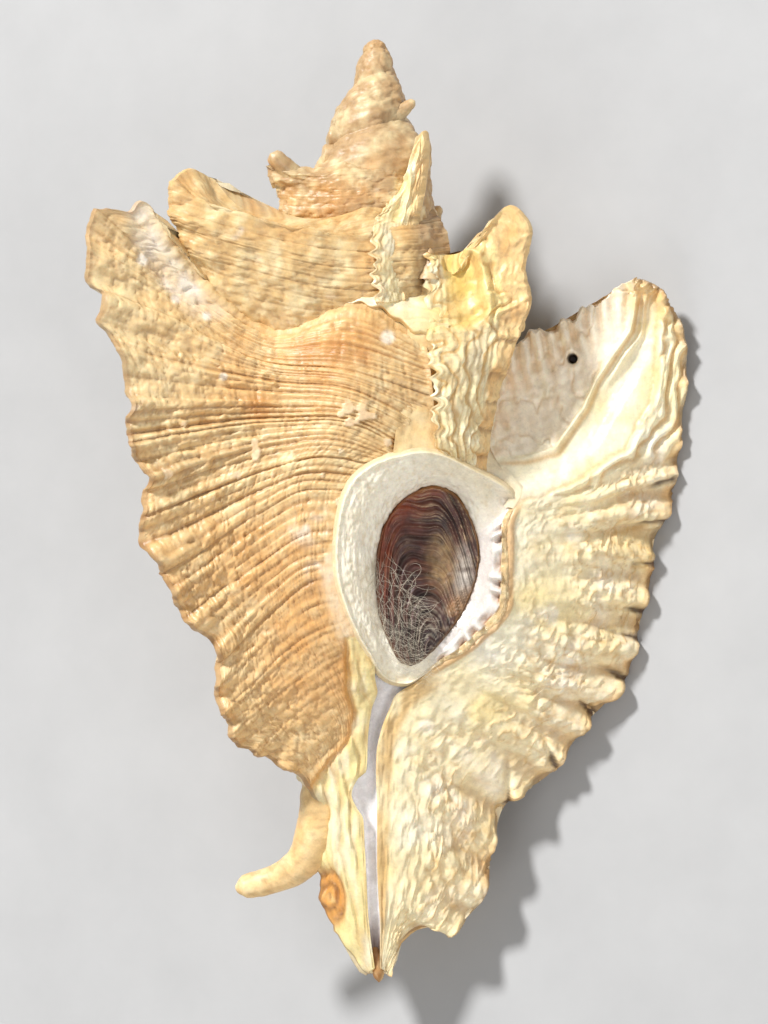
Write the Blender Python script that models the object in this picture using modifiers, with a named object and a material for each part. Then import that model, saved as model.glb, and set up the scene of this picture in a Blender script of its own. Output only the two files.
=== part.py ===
"""A three-winged murex shell, lying with its opening upwards, with its horny lid and a tuft of cotton.

The shell is drawn in its own upright frame, in millimetres: x to the right of the opening, y along
the axis from the tip of the canal to the apex, z out of the opening towards the viewer. Each whorl is
a loft of closed loops, one loop for each spiral cord, and each loop runs round the whorl and out and
back along its three wings. The finished pieces are then rolled over to the side that the real shell
rests on. Metres, +Z up.
"""

import math

import bmesh
import bpy
import numpy as np
from mathutils import Matrix, Vector

MM = 0.001

# How the shell lies: rolled about its own axis and pitched, so that the edges of its last and its
# hidden wing carry it, then moved so that it stands centred over the origin. The edges are worn a
# little flat there.
REST_ROLL = 27.44
REST_PITCH = 5.22
REST_SHIFT = (-3.03, -49.92, 9.15)

# The last whorl from the edge of the inner lip out to the edge of the left wing. Each row is one cord:
# its number from the canal's tip (0) to the suture (1), then five points in millimetres.
LEFT_CAGE = (
    (0.00, (-0.3, 1.2, 1.0), (-0.5, 1.0, 0.95), (-0.7, 0.8, 0.8), (-0.9, 0.6, 0.6), (-1.0, 0.3, 0.2)),
    (0.02, (-0.8, 5.5, 1.9), (-1.8, 5.4, 1.8), (-2.8, 5.2, 1.5), (-3.7, 5.0, 1.0), (-4.5, 4.8, 0.3)),
    (0.05, (-1.1, 11.0, 3.0), (-2.4, 10.8, 2.9), (-3.9, 10.3, 2.5), (-5.4, 9.7, 1.6), (-6.6, 9.0, 0.4)),
    (0.11, (-2.3, 20.4, 4.2), (-3.2, 20.0, 4.3), (-4.2, 19.3, 4.0), (-5.0, 18.4, 3.0),
     (-5.7, 17.0, 1.8)),
    (0.17, (-0.2, 27.5, 5.8), (-2.2, 27.0, 6.0), (-4.2, 25.8, 5.6), (-6.2, 24.0, 5.0),
     (-8.0, 22.0, 4.6)),
    (0.24, (-0.1, 33.0, 8.2), (-3.3, 32.0, 8.2), (-6.5, 29.9, 7.6), (-9.7, 27.3, 7.0),
     (-12.8, 24.7, 7.0)),
    (0.33, (-2.5, 38.0, 10.6), (-5.7, 37.3, 10.3), (-9.0, 35.0, 9.3), (-12.2, 32.0, 8.9),
     (-15.4, 29.0, 9.0)),
    (0.42, (-4.5, 44.5, 11.9), (-7.6, 43.6, 11.3), (-10.7, 41.2, 10.3), (-13.9, 38.4, 10.1),
     (-17.0, 35.5, 10.6)),
    (0.54, (-3.2, 53.0, 12.8), (-7.9, 52.2, 11.9), (-12.5, 49.8, 10.8), (-17.2, 46.6, 11.2),
     (-21.8, 43.6, 12.6)),
    (0.66, (2.5, 57.4, 13.2), (-3.9, 58.0, 13.2), (-10.4, 57.6, 11.3), (-16.8, 56.3, 11.4),
     (-23.3, 54.3, 13.2)),
    (0.74, (5.0, 59.3, 12.6), (-2.6, 60.4, 13.3), (-10.2, 60.8, 11.2), (-18.0, 60.6, 11.6),
     (-25.5, 60.0, 13.6)),
    (0.82, (6.2, 61.5, 12.0), (-2.3, 63.2, 13.2), (-10.8, 64.3, 11.0), (-19.5, 66.3, 11.8),
     (-27.8, 69.0, 14.0)),
    (0.90, (5.8, 64.0, 11.4), (-3.0, 66.4, 12.6), (-12.0, 67.0, 10.2), (-21.0, 72.5, 11.6),
     (-29.8, 77.5, 14.4)),
    (0.96, (5.5, 66.5, 10.8), (-2.8, 69.8, 11.4), (-11.0, 68.6, 9.4), (-19.5, 74.2, 10.8),
     (-27.0, 81.6, 14.0)),
    (1.00, (5.0, 68.3, 9.6), (-2.5, 72.6, 9.4), (-10.2, 69.9, 8.0), (-17.2, 73.6, 9.6),
     (-21.9, 80.1, 12.4)),
)

# The face of the last wing, from the rim of the outer lip to the edge of the wing, in the same rows.
LIP_CAGE = (
    (0.00, (0.4, 1.2, 1.0), (0.6, 1.1, 0.9), (0.8, 1.0, 0.7), (1.0, 0.9, 0.5), (1.2, 0.8, 0.3)),
    (0.02, (0.4, 5.0, 2.0), (1.2, 5.0, 1.9), (2.1, 5.0, 1.5), (3.0, 4.9, 1.0), (3.8, 4.8, 0.6)),
    (0.05, (0.3, 10.5, 3.0), (2.0, 9.4, 2.8), (4.2, 7.6, 2.0), (6.4, 6.0, 1.2), (8.2, 5.0, 0.6)),
    (0.11, (0.1, 19.5, 4.2), (2.6, 18.0, 4.0), (6.0, 15.4, 3.0), (9.4, 13.2, 1.8), (12.2, 11.5, 0.8)),
    (0.17, (0.7, 26.5, 5.4), (3.4, 25.0, 5.1), (7.0, 22.4, 3.8), (10.6, 20.2, 2.4), (13.4, 18.3, 1.0)),
    (0.24, (5.0, 32.7, 6.6), (7.8, 31.0, 5.9), (12.0, 28.4, 4.4), (16.0, 26.0, 2.8), (19.2, 24.0, 1.2)),
    (0.33, (10.0, 36.0, 7.4), (13.0, 35.0, 6.4), (17.5, 33.2, 4.6), (21.8, 31.5, 3.0),
     (25.0, 30.5, 1.4)),
    (0.42, (13.8, 40.6, 7.8), (16.8, 40.6, 6.6), (21.0, 40.4, 4.8), (25.2, 40.0, 3.0),
     (28.4, 39.5, 1.4)),
    (0.54, (13.8, 48.5, 8.0), (17.3, 49.2, 6.8), (22.3, 50.0, 5.0), (27.0, 51.0, 3.2),
     (31.0, 51.5, 1.6)),
    (0.61, (15.4, 52.2, 7.2), (18.6, 52.6, 6.0), (23.2, 54.0, 4.4), (28.0, 56.6, 3.0),
     (32.0, 58.5, 1.6)),
    (0.66, (14.0, 53.7, 6.8), (18.0, 54.8, 5.0), (23.0, 57.0, 3.6), (28.4, 60.8, 2.6),
     (32.8, 64.0, 1.6)),
    (0.74, (12.0, 57.5, 5.0), (17.0, 57.2, 3.2), (22.6, 60.0, 2.4), (28.4, 65.6, 2.2),
     (33.0, 69.5, 1.8)),
    (0.82, (12.2, 60.5, 3.0), (17.0, 60.6, 1.8), (22.2, 63.4, 1.6), (27.4, 68.8, 2.2),
     (31.5, 72.4, 2.2)),
    (0.90, (12.9, 63.5, 2.0), (17.0, 64.2, 1.2), (21.5, 66.6, 1.4), (26.3, 71.0, 2.4),
     (29.8, 74.3, 2.8)),
    (1.00, (14.0, 67.6, 1.0), (17.5, 68.7, 1.0), (20.9, 70.2, 1.2), (24.2, 72.7, 2.0),
     (27.2, 75.0, 3.2)),
)

# The outlines of the left wing and of the last wing, which the rows above are drawn to: cord, x and y.
LEFT_OUTLINE = (
    (0.25, -14.2, 25.2), (0.335, -15.9, 29.3), (0.37, -16.3, 31.9), (0.405, -16.0, 34.4),
    (0.44, -17.5, 37.0),
    (0.46, -18.9, 38.2), (0.50, -20.5, 40.7), (0.55, -22.1, 44.5), (0.58, -23.9, 47.1),
    (0.622, -23.8, 50.9),
    (0.65, -23.0, 53.4), (0.665, -24.1, 54.7), (0.685, -24.7, 56.0), (0.737, -25.6, 59.8),
    (0.75, -25.0, 61.1),
    (0.765, -25.5, 62.6), (0.783, -25.8, 64.9), (0.818, -27.3, 68.7), (0.83, -28.3, 69.9),
    (0.853, -27.9, 72.5),
    (0.876, -29.7, 75.0), (0.90, -29.7, 77.6), (0.93, -29.4, 80.0), (0.95, -28.7, 81.4),
    (0.97, -25.5, 81.0),
    (0.985, -24.0, 82.2), (1.00, -21.9, 80.1),
)
LIP_OUTLINE = (
    (0.00, 0.9, 0.6), (0.006, 1.3, 1.4), (0.014, 2.4, 3.9), (0.024, 5.0, 5.5),
    (0.045, 8.1, 5.2), (0.062, 9.7, 6.5),
    (0.075, 10.6, 7.7), (0.10, 12.0, 10.3), (0.12, 12.2, 12.8), (0.143, 12.7, 15.3), (0.165, 13.4, 17.9),
    (0.18, 14.4, 19.2), (0.20, 16.4, 20.4), (0.215, 18.3, 21.7), (0.23, 19.5, 23.0), (0.28, 21.8, 26.8),
    (0.315, 24.3, 29.3), (0.345, 26.5, 31.9), (0.37, 27.4, 34.4), (0.42, 28.6, 39.5),
    (0.445, 29.2, 42.0),
    (0.50, 29.8, 47.1), (0.535, 31.5, 50.9), (0.585, 32.2, 56.0), (0.61, 32.5, 58.5), (0.67, 33.1, 64.9),
    (0.70, 33.1, 67.4), (0.745, 32.7, 69.9), (0.825, 31.1, 72.5), (0.87, 30.4, 73.8), (1.00, 27.6, 75.0),
)
# The folds that run out over the face of the last wing, by their cords.
LIP_FOLDS = (0.13, 0.18, 0.22, 0.285, 0.345, 0.362, 0.405, 0.455, 0.505, 0.527)
FOLD_DEPTH = 0.7
FOLD_WIDTH = 0.011

# The hidden wing at the back: cord, distance of its edge from the axis, height of its edge.
BACK_WING = (
    (0.00, 1.2, 0.6),
    (0.05, 3.0, 8.5),
    (0.11, 5.2, 13.5),
    (0.17, 10.2, 16.8),
    (0.24, 14.6, 22.0),
    (0.33, 19.0, 30.0),
    (0.42, 22.4, 38.5),
    (0.54, 25.2, 49.5),
    (0.66, 27.0, 61.0),
    (0.74, 27.9, 67.5),
    (0.82, 27.8, 73.0),
    (0.90, 25.8, 77.2),
    (0.96, 23.2, 78.2),
    (1.00, 20.6, 76.4),
)
BACK_WING_ANGLE = 240.0
BACK_WING_CURL = -2.5

# The round body of the last whorl: cord, centre x, radius, height on the back, drop round the back.
BODY = (
    (0.00, 0.1, 0.9, 0.6, 0.0),
    (0.05, -0.8, 2.6, 8.5, 0.0),
    (0.11, -1.0, 3.7, 17.0, 0.0),
    (0.17, -0.8, 4.9, 23.0, 0.0),
    (0.24, 0.0, 7.0, 28.5, 0.0),
    (0.33, 0.0, 9.6, 35.0, 0.5),
    (0.42, 0.0, 11.6, 41.0, 1.0),
    (0.54, 0.0, 13.3, 49.0, 2.0),
    (0.66, 0.0, 13.8, 56.5, 4.0),
    (0.74, 0.0, 13.5, 61.0, 5.5),
    (0.82, 0.0, 12.9, 65.0, 7.0),
    (0.90, 0.0, 11.8, 68.5, 8.5),
    (0.96, 0.0, 10.4, 70.8, 9.5),
    (1.00, 0.0, 9.0, 72.0, 10.0),
)


def smooth_step(t):
    t = np.clip(t, 0.0, 1.0)
    return t * t * (3.0 - 2.0 * t)


def curve_through(keys, values, at):
    """A smooth curve through the values at the keys, without overshoot, read at the given places."""
    keys = np.asarray(keys, float)
    values = np.asarray(values, float).reshape(len(keys), -1)
    at = np.clip(np.asarray(at, float), keys[0], keys[-1])
    gaps = np.diff(keys)[:, None]
    slopes = np.diff(values, axis=0) / gaps
    inner = np.zeros_like(values)
    same_way = slopes[:-1] * slopes[1:] > 0
    weight_a = 2 * gaps[1:] + gaps[:-1]
    weight_b = gaps[1:] + 2 * gaps[:-1]
    safe_a = np.where(same_way, slopes[:-1], 1.0)
    safe_b = np.where(same_way, slopes[1:], 1.0)
    harmonic = (weight_a + weight_b) / (weight_a / safe_a + weight_b / safe_b)
    inner[1:-1] = np.where(same_way, harmonic, 0.0)
    inner[0], inner[-1] = slopes[0], slopes[-1]
    index = np.clip(np.searchsorted(keys, at, side="right") - 1, 0, len(keys) - 2)
    width = (keys[index + 1] - keys[index])[:, None]
    t = (at - keys[index])[:, None] / width
    return (
        values[index] * (1 + 2 * t) * (1 - t) ** 2
        + values[index + 1] * t * t * (3 - 2 * t)
        + inner[index] * width * t * (1 - t) ** 2
        - inner[index + 1] * width * t * t * (1 - t)
    )


def cage_rows(cage, cords):
    """The cage's columns at each cord, as an array of cords by columns by xyz."""
    keys = [row[0] for row in cage]
    points = np.array([row[1:] for row in cage], float).reshape(len(cage), -1)
    return curve_through(keys, points, cords).reshape(len(cords), -1, 3)


def with_outline(columns, outline, cords):
    """The cage's columns with the last one drawn to the outline, and the two before it part of the way."""
    keys = [row[0] for row in outline]
    wanted = curve_through(keys, [row[1:] for row in outline], cords)
    inside = ((cords >= keys[0]) & (cords <= keys[-1]))[:, None]
    stray = np.where(inside, wanted - columns[:, 4, :2], 0.0)
    for column, share in ((4, 1.0), (3, 0.55), (2, 0.15)):
        columns[:, column, :2] += stray * share
    return columns


def mixed(a, b, share):
    """Between two point arrays; share is one number for each cord, or one for all."""
    share = np.asarray(share, float)
    share = share[:, None] if share.ndim else share
    return a + (b - a) * share


# The slit of the canal: cord, right edge, deep right, deep left, left edge.
SLIT_CAGE = (
    (0.00, (0.3, 1.3, 0.9), (0.2, 1.3, 0.6), (-0.1, 1.3, 0.6), (-0.2, 1.3, 0.9)),
    (0.02, (0.4, 5.1, 1.7), (0.3, 5.1, 1.0), (-0.5, 5.1, 1.0), (-0.6, 5.1, 1.7)),
    (0.05, (0.4, 10.6, 2.7), (0.3, 10.6, 0.9), (-0.9, 10.9, 0.9), (-1.0, 11.0, 2.7)),
    (0.11, (0.1, 19.7, 3.7), (0.1, 19.8, 0.8), (-1.9, 20.2, 0.8), (-2.1, 20.3, 3.7)),
    (0.17, (0.9, 26.8, 4.8), (0.8, 26.8, 1.2), (-0.4, 27.2, 1.2), (-0.5, 27.4, 5.0)),
    (0.24, (4.4, 32.6, 5.6), (3.6, 32.6, 1.6), (0.9, 32.8, 1.6), (0.3, 33.0, 6.6)),
    (0.27, (5.6, 34.8, 5.8), (4.6, 35.0, 1.6), (1.6, 35.2, 1.6), (1.0, 35.4, 6.8)),
)
# The top edge of the callus, from the notch at the upper end of the lip round to the left.
CALLUS_TOP = (
    (13.4, 53.2, 8.0), (11.0, 54.2, 9.4), (8.6, 55.4, 10.8), (6.2, 56.5, 12.0), (3.6, 57.2, 12.9),
    (1.2, 56.9, 13.3),
)
# Where the opening runs out into the canal, from the left round to the right.
CANAL_MOUTH = ((0.5, 32.6, 7.4), (1.8, 32.0, 6.9), (3.1, 31.8, 6.6), (4.3, 32.1, 6.5))
# How the opening deepens: share of the way in from its rim to the lid, share of the way down.
OPENING_STEPS = ((0.0, 0.0), (0.25, 0.06), (0.5, 0.2), (0.75, 0.48), (0.9, 0.75), (1.0, 1.0))

# Cords, columns round the loft and the size of the grid that the pieces are fused on.
ROWS = 120
COLUMNS = 64
VOXEL = 0.42
TRIANGLES = 9300


def spline_columns(columns, count):
    """A smooth curve through the columns for every cord at once: cords by count by xyz."""
    columns = np.stack(columns, axis=1)
    steps = np.linalg.norm(np.diff(columns, axis=1), axis=2).mean(axis=0)
    knots = np.concatenate([[0.0], np.cumsum(steps)])
    at = np.linspace(0.0, knots[-1], count)
    gaps = np.diff(knots)[None, :, None]
    slopes = np.diff(columns, axis=1) / gaps
    tangents = np.empty_like(columns)
    tangents[:, 0], tangents[:, -1] = slopes[:, 0], slopes[:, -1]
    before, after = gaps[:, :-1], gaps[:, 1:]
    tangents[:, 1:-1] = (slopes[:, :-1] * after + slopes[:, 1:] * before) / (before + after)
    index = np.clip(np.searchsorted(knots, at, side="right") - 1, 0, len(knots) - 2)
    width = np.diff(knots)[index][None, :, None]
    t = ((at - knots[index]) / np.diff(knots)[index])[None, :, None]
    return (
        columns[:, index] * (1 + 2 * t) * (1 - t) ** 2
        + columns[:, index + 1] * t * t * (3 - 2 * t)
        + tangents[:, index] * width * t * (1 - t) ** 2
        - tangents[:, index + 1] * width * t * t * (1 - t)
    )


def onward(points, centre_x):
    """The direction of growth at each point, square to the line from the axis."""
    angle = np.arctan2(points[:, 2], points[:, 0] - centre_x)
    return np.stack([-np.sin(angle), np.zeros_like(angle), np.cos(angle)], axis=1)


class Whorl:
    """The round body of one whorl: centre, radius and height of every cord, dropping as it grows."""

    def __init__(self, table, cords):
        keys = [row[0] for row in table]
        values = curve_through(keys, [row[1:] for row in table], cords)
        self.cords = cords
        self.centre, self.radius, self.height, self.drop = values.T

    def at(self, degrees, inward=0.0):
        height = self.height - self.drop * (degrees - 90.0) / 360.0
        radius = np.maximum(self.radius - inward, 0.25 * self.radius)
        return on_circle(self.centre, radius, degrees, height)


def on_circle(centre_x, radius, degrees, height):
    angle = math.radians(degrees)
    return np.stack([centre_x + radius * math.cos(angle), height, radius * math.sin(angle)], axis=1)


def flare(whorl, start, edge, power, crest=0.0):
    """Columns that follow the body from an angle and then sweep out to the edge of the next wing.

    The crest keeps the topmost cords low until they are near the edge, so that the wing ends in a horn.
    """
    lift = 1.0 + crest * smooth_step((whorl.cords - 0.78) / 0.22)
    edge_angle = np.degrees(np.arctan2(edge[:, 2], edge[:, 0] - whorl.centre)) % 360.0
    edge_angle = np.where(edge_angle < start - 1.0, edge_angle + 360.0, edge_angle)
    edge_radius = np.hypot(edge[:, 2], edge[:, 0] - whorl.centre)
    columns = []
    for share in (0.0, 0.28, 0.5, 0.67, 0.79, 0.88, 0.94, 0.98, 1.0):
        angle = start + (edge_angle - start) * share
        out = share ** power
        radius = whorl.radius + (edge_radius - whorl.radius) * out
        height = whorl.height - whorl.drop * (angle - 90.0) / 360.0
        height = height + (edge[:, 1] - height) * out ** lift
        turn = np.radians(angle)
        columns.append(
            np.stack([whorl.centre + radius * np.cos(turn), height, radius * np.sin(turn)], axis=1)
        )
    return columns


def wing_back(whorl, edge, root_degrees, thickness, hollow=0.0):
    """Columns down the far side of a wing, from its root on the body out to its edge."""
    back_edge = edge + onward(edge, whorl.centre) * thickness[:, None]
    root = whorl.at(root_degrees, 0.6)
    middle = mixed(root, back_edge, 0.45)
    lean = onward(middle, whorl.centre)
    return [root, middle + lean * hollow, back_edge]


def slab(outer, inner, count):
    """A closed solid between an outer and an inner face, each a spline through its own columns."""
    top = spline_columns(outer, count)
    low = spline_columns(inner, count)
    rows = top.shape[0]
    points = np.concatenate([top.reshape(-1, 3), low.reshape(-1, 3)])
    faces = []
    base = rows * count
    for i in range(rows - 1):
        for j in range(count - 1):
            a = i * count + j
            faces.append((a, a + 1, a + count + 1, a + count))
            faces.append((base + a, base + a + count, base + a + count + 1, base + a + 1))
    for j in range(count - 1):
        last = (rows - 1) * count + j
        faces.append((j, base + j, base + j + 1, j + 1))
        faces.append((last, last + 1, base + last + 1, base + last))
    for i in range(rows - 1):
        a = i * count
        b = a + count - 1
        faces.append((a, a + count, base + a + count, base + a))
        faces.append((b, base + b, base + b + count, b + count))
    return points, faces


def tube(loops):
    """A closed solid through a stack of loops, capped at both ends."""
    rows, count = loops.shape[:2]
    points = np.concatenate([loops.reshape(-1, 3), loops[:1].mean(axis=1), loops[-1:].mean(axis=1)])
    faces = []
    for i in range(rows - 1):
        for j in range(count):
            a = i * count + j
            b = i * count + (j + 1) % count
            faces.append((a, b, b + count, a + count))
    first, last = rows * count, rows * count + 1
    for j in range(count):
        k = (j + 1) % count
        faces.append((first, k, j))
        faces.append((last, (rows - 1) * count + j, (rows - 1) * count + k))
    return points, faces


def add_mesh(name, pieces):
    """One mesh object from a list of (points, faces) in the shell's upright millimetre frame."""
    mesh = bpy.data.meshes.new(name)
    points, faces, base = [], [], 0
    for piece_points, piece_faces in pieces:
        points.append(piece_points)
        faces.extend(tuple(base + k for k in face) for face in piece_faces)
        base += len(piece_points)
    mesh.from_pydata((np.concatenate(points) * MM).tolist(), [], faces)
    obj = bpy.data.objects.new(name, mesh)
    bpy.context.scene.collection.objects.link(obj)
    return obj


def outward(piece):
    """The piece with its faces turned so that it encloses a positive volume."""
    points, faces = piece
    volume = 0.0
    for face in faces:
        for k in range(1, len(face) - 1):
            a, b, c = points[face[0]], points[face[k]], points[face[k + 1]]
            volume += float(np.dot(a, np.cross(b, c)))
    if volume < 0:
        faces = [tuple(reversed(face)) for face in faces]
    return points, faces


# The whorl before the last: body, then the edges of its three wings as distance and height.
BODY_2 = (
    (0.00, 0.0, 4.5, 60.0, 8.0),
    (0.25, 0.0, 7.6, 67.0, 7.5),
    (0.50, 0.0, 9.4, 73.0, 7.0),
    (0.70, -0.2, 9.8, 77.0, 6.5),
    (0.85, -0.3, 8.8, 80.0, 6.0),
    (1.00, -0.5, 6.6, 82.0, 5.5),
)
LEFT_WING_2 = (
    (0.00, 6.0, 58.0),
    (0.25, 15.0, 67.0),
    (0.42, 20.6, 74.5),
    (0.58, 23.0, 79.0),
    (0.72, 24.0, 81.8),
    (0.82, 23.7, 84.2),
    (0.91, 21.4, 86.0),
    (1.00, 18.4, 84.8),
)
BACK_WING_2 = (
    (0.00, 6.0, 56.0),
    (0.25, 13.0, 66.0),
    (0.50, 18.5, 76.0),
    (0.72, 20.5, 81.5),
    (0.86, 19.4, 84.2),
    (1.00, 15.5, 84.0),
)
# The face of its right wing and of the one before, from the foot out to the edge, by cord.
RIGHT_FACE_2 = (
    (0.00, (7.5, 54.5, 10.5), (9.0, 54.0, 9.5), (10.0, 53.6, 8.5), (11.0, 53.2, 7.5)),
    (0.15, (6.0, 58.5, 12.2), (8.2, 58.0, 11.2), (10.0, 57.8, 9.8), (11.6, 57.6, 7.6)),
    (0.30, (6.0, 62.5, 12.2), (8.5, 62.6, 11.2), (10.8, 62.8, 9.4), (12.6, 62.5, 7.4)),
    (0.45, (5.6, 66.5, 11.6), (8.6, 66.9, 10.8), (11.6, 67.6, 9.0), (14.6, 68.4, 8.0)),
    (0.60, (5.4, 68.8, 10.6), (8.4, 69.8, 9.8), (12.0, 71.2, 8.6), (16.0, 72.5, 8.6)),
    (0.72, (5.4, 69.8, 10.0), (8.2, 71.2, 9.0), (11.6, 73.4, 8.2), (15.4, 75.6, 8.4)),
    (0.84, (5.2, 71.2, 9.4), (8.0, 73.0, 8.4), (11.4, 76.0, 8.0), (16.1, 79.6, 8.8)),
    (0.92, (5.2, 73.4, 8.8), (7.6, 74.9, 8.0), (10.4, 77.6, 7.8), (14.0, 82.2, 8.8)),
    (1.00, (5.4, 77.4, 8.2), (7.2, 76.0, 7.6), (9.2, 76.4, 7.4), (11.4, 80.0, 8.4)),
)
RIGHT_FACE_3 = (
    (0.00, (0.0, 72.0, 10.9), (1.2, 72.0, 10.3), (2.2, 72.2, 9.5), (3.0, 72.4, 8.5)),
    (0.30, (-0.3, 76.0, 10.8), (1.0, 76.2, 10.2), (2.2, 76.4, 9.2), (3.2, 77.0, 8.0)),
    (0.50, (-0.4, 79.0, 10.0), (1.0, 79.4, 9.4), (2.5, 80.0, 8.4), (4.0, 81.2, 7.4)),
    (0.70, (0.0, 80.8, 8.6), (1.4, 81.4, 8.2), (3.0, 82.6, 7.4), (4.8, 85.2, 6.8)),
    (0.85, (0.4, 81.6, 8.2), (1.9, 82.6, 7.8), (3.5, 84.9, 7.2), (5.1, 88.6, 6.8)),
    (0.93, (0.7, 81.9, 7.8), (2.0, 83.0, 7.4), (3.4, 85.6, 7.0), (4.9, 90.2, 6.8)),
    (1.00, (0.9, 82.2, 7.2), (2.0, 83.3, 7.0), (3.0, 85.2, 6.8), (4.3, 89.4, 6.6)),
)
BODY_3 = (
    (0.00, -0.3, 3.2, 74.0, 5.0),
    (0.30, -0.4, 5.6, 79.0, 4.5),
    (0.60, -0.7, 7.0, 83.0, 4.0),
    (0.85, -0.9, 6.6, 85.8, 3.5),
    (1.00, -0.7, 5.2, 87.4, 3.0),
)
LEFT_WING_3 = (
    (0.00, 5.0, 76.0),
    (0.30, 8.4, 79.5),
    (0.50, 10.4, 81.8),
    (0.64, 10.5, 83.6),
    (0.74, 11.0, 85.0),
    (0.82, 12.3, 86.2),
    (0.89, 13.4, 88.0),
    (0.95, 11.6, 87.5),
    (1.00, 9.6, 86.2),
)
BACK_WING_3 = (
    (0.00, 4.0, 75.0),
    (0.40, 9.0, 82.0),
    (0.70, 11.0, 86.6),
    (0.90, 10.4, 88.4),
    (1.00, 8.0, 88.0),
)
LEFT_ANGLE = 152.0
BACK_ANGLE = 241.0
RIGHT_ANGLE_2 = 27.0
RIGHT_ANGLE_3 = 52.0
EARLY_THICKNESS = 0.8

# The spire above them: height and radius, with the stub of the older canal as centre line and radius.
SPIRE = (
    (99.9, 0.3), (99.2, 1.2), (97.9, 1.65), (96.6, 2.15), (95.3, 2.7), (94.1, 3.1), (92.8, 3.5),
    (91.5, 3.9), (90.3, 4.4), (88.5, 5.0), (86.0, 5.4), (82.0, 5.0),
)
# Knobs of the oldest wings on the spire and two frills lower down: foot, tip, radius at each.
KNOBS = (
    ((1.6, 92.6, 1.4), (4.1, 93.7, 1.8), 1.3, 0.35),
    ((-2.2, 92.8, 1.4), (-3.9, 94.3, 1.6), 1.2, 0.5),
    ((-2.4, 90.2, 2.0), (-5.4, 91.3, 2.4), 1.5, 0.6),
    ((-3.0, 87.6, 3.0), (-6.5, 89.2, 3.2), 1.7, 0.7),
    ((2.6, 88.2, 2.0), (5.2, 89.2, 2.0), 1.6, 0.7),
    ((5.0, 79.5, -2.0), (6.9, 83.2, -2.6), 2.0, 0.4),
    ((5.6, 74.5, 7.6), (5.7, 77.9, 7.4), 1.3, 0.35),
)
OLD_CANAL = (
    (-5.6, 23.5, 0.6, 1.9),
    (-5.9, 18.5, 0.4, 2.3),
    (-6.4, 15.2, 0.0, 2.3),
    (-8.0, 12.3, -0.6, 1.9),
    (-10.4, 10.7, -1.3, 1.6),
    (-13.0, 9.9, -1.8, 1.45),
    (-14.8, 9.4, -2.1, 1.0),
)
# The ridge that joins that stub to the canal of the last whorl.
CANAL_WEB = (
    (-4.3, 22.0, 1.6, 2.2),
    (-4.7, 17.0, 1.3, 2.4),
    (-4.9, 13.0, 0.7, 2.1),
    (-4.8, 9.6, 0.3, 1.3),
)
LID_OUTLINE = (
    (6.0, 53.0), (3.0, 51.5), (0.6, 48.0), (0.0, 44.0), (0.2, 40.0), (1.1, 37.0), (2.5, 34.4),
    (3.6, 33.9),
    (5.0, 34.5), (7.4, 37.0), (9.4, 40.0), (10.7, 43.5), (10.9, 46.0), (10.2, 49.0), (8.4, 52.0),
)
LID_MIDDLE = (5.4, 43.6)


def wing_edge(table, degrees, whorl, cords, curl=0.0):
    """The edge of a wing: its distance and height for every cord, at its angle round the axis."""
    keys = [row[0] for row in table]
    radius, height = curve_through(keys, [row[1:] for row in table], cords).T
    turn = np.radians(degrees + curl * cords)
    return np.stack([whorl.centre + radius * np.cos(turn), height, radius * np.sin(turn)], axis=1)


def lid_height(x, y):
    """How far the lid's outer face stands out of the opening: lower towards the outer lip."""
    return 9.2 - 0.26 * x + 0.01 * (y - 43.0)


def last_whorl(cords):
    """The slabs of the last whorl and its solid core."""
    whorl = Whorl(BODY, cords)
    front = with_outline(cage_rows(LEFT_CAGE, cords), LEFT_OUTLINE, cords)
    lip = with_outline(cage_rows(LIP_CAGE, cords), LIP_OUTLINE, cords)
    for fold in LIP_FOLDS:
        dip = FOLD_DEPTH * np.exp(-(((cords - fold) / FOLD_WIDTH) ** 2))
        lip[:, 2:4, 2] -= dip[:, None] * np.array([0.6, 1.0])
    left = [front[:, k] for k in range(5)]
    edge_width = 0.35 + 0.75 * smooth_step(cords / 0.2)
    in_front = [column - np.array([0.0, 0.0, 2.2]) * edge_width[:, None] for column in left[:2]]
    back_of_left = wing_back(whorl, left[4], 168.0, edge_width, 1.0)
    back_edge = wing_edge(BACK_WING, BACK_WING_ANGLE, whorl, cords, BACK_WING_CURL)
    to_back = [whorl.at(158.0, 0.5)] + flare(whorl, 172.0, back_edge, 5.0, 1.5)
    under_back = [whorl.at(158.0, 3.0), whorl.at(200.0, 3.0)]
    under_back += wing_back(whorl, back_edge, 256.0, edge_width, 0.8)
    lip_edge = lip[:, 4]
    far_edge = lip_edge - onward(lip_edge, whorl.centre) * edge_width[:, None]
    to_lip = [whorl.at(246.0, 0.5)] + flare(whorl, 258.0, far_edge, 12.0)
    under_lip = [whorl.at(246.0, 3.0), whorl.at(300.0, 3.0), whorl.at(340.0, 3.2)]
    under_lip += [lip[:, k] for k in range(5)]
    core = [whorl.at(degrees, 0.9) for degrees in range(0, 360, 12)]
    return [
        slab(left, in_front + back_of_left, COLUMNS),
        slab(to_back, under_back, COLUMNS),
        slab(to_lip, under_lip, COLUMNS),
        tube(np.stack(core, axis=1)),
    ]


def slit_cutter():
    """The slit along the canal, open towards the front."""
    cords = np.linspace(0.0, 0.27, 50)
    inside = cage_rows(SLIT_CAGE, cords)
    above = np.array([0.0, 0.0, 6.0])
    loop = [inside[:, 0] + above, *(inside[:, k] for k in range(4)), inside[:, 3] + above]
    return tube(np.stack(loop, axis=1))


def lid_ring(count=48):
    """The outline of the lid as a closed ring of x, y."""
    outline = np.array(LID_OUTLINE)
    closed = np.vstack([outline, outline[:1]])
    return curve_through(np.arange(len(closed)), closed, np.linspace(0, len(closed) - 1, count + 1)[:-1])


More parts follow.
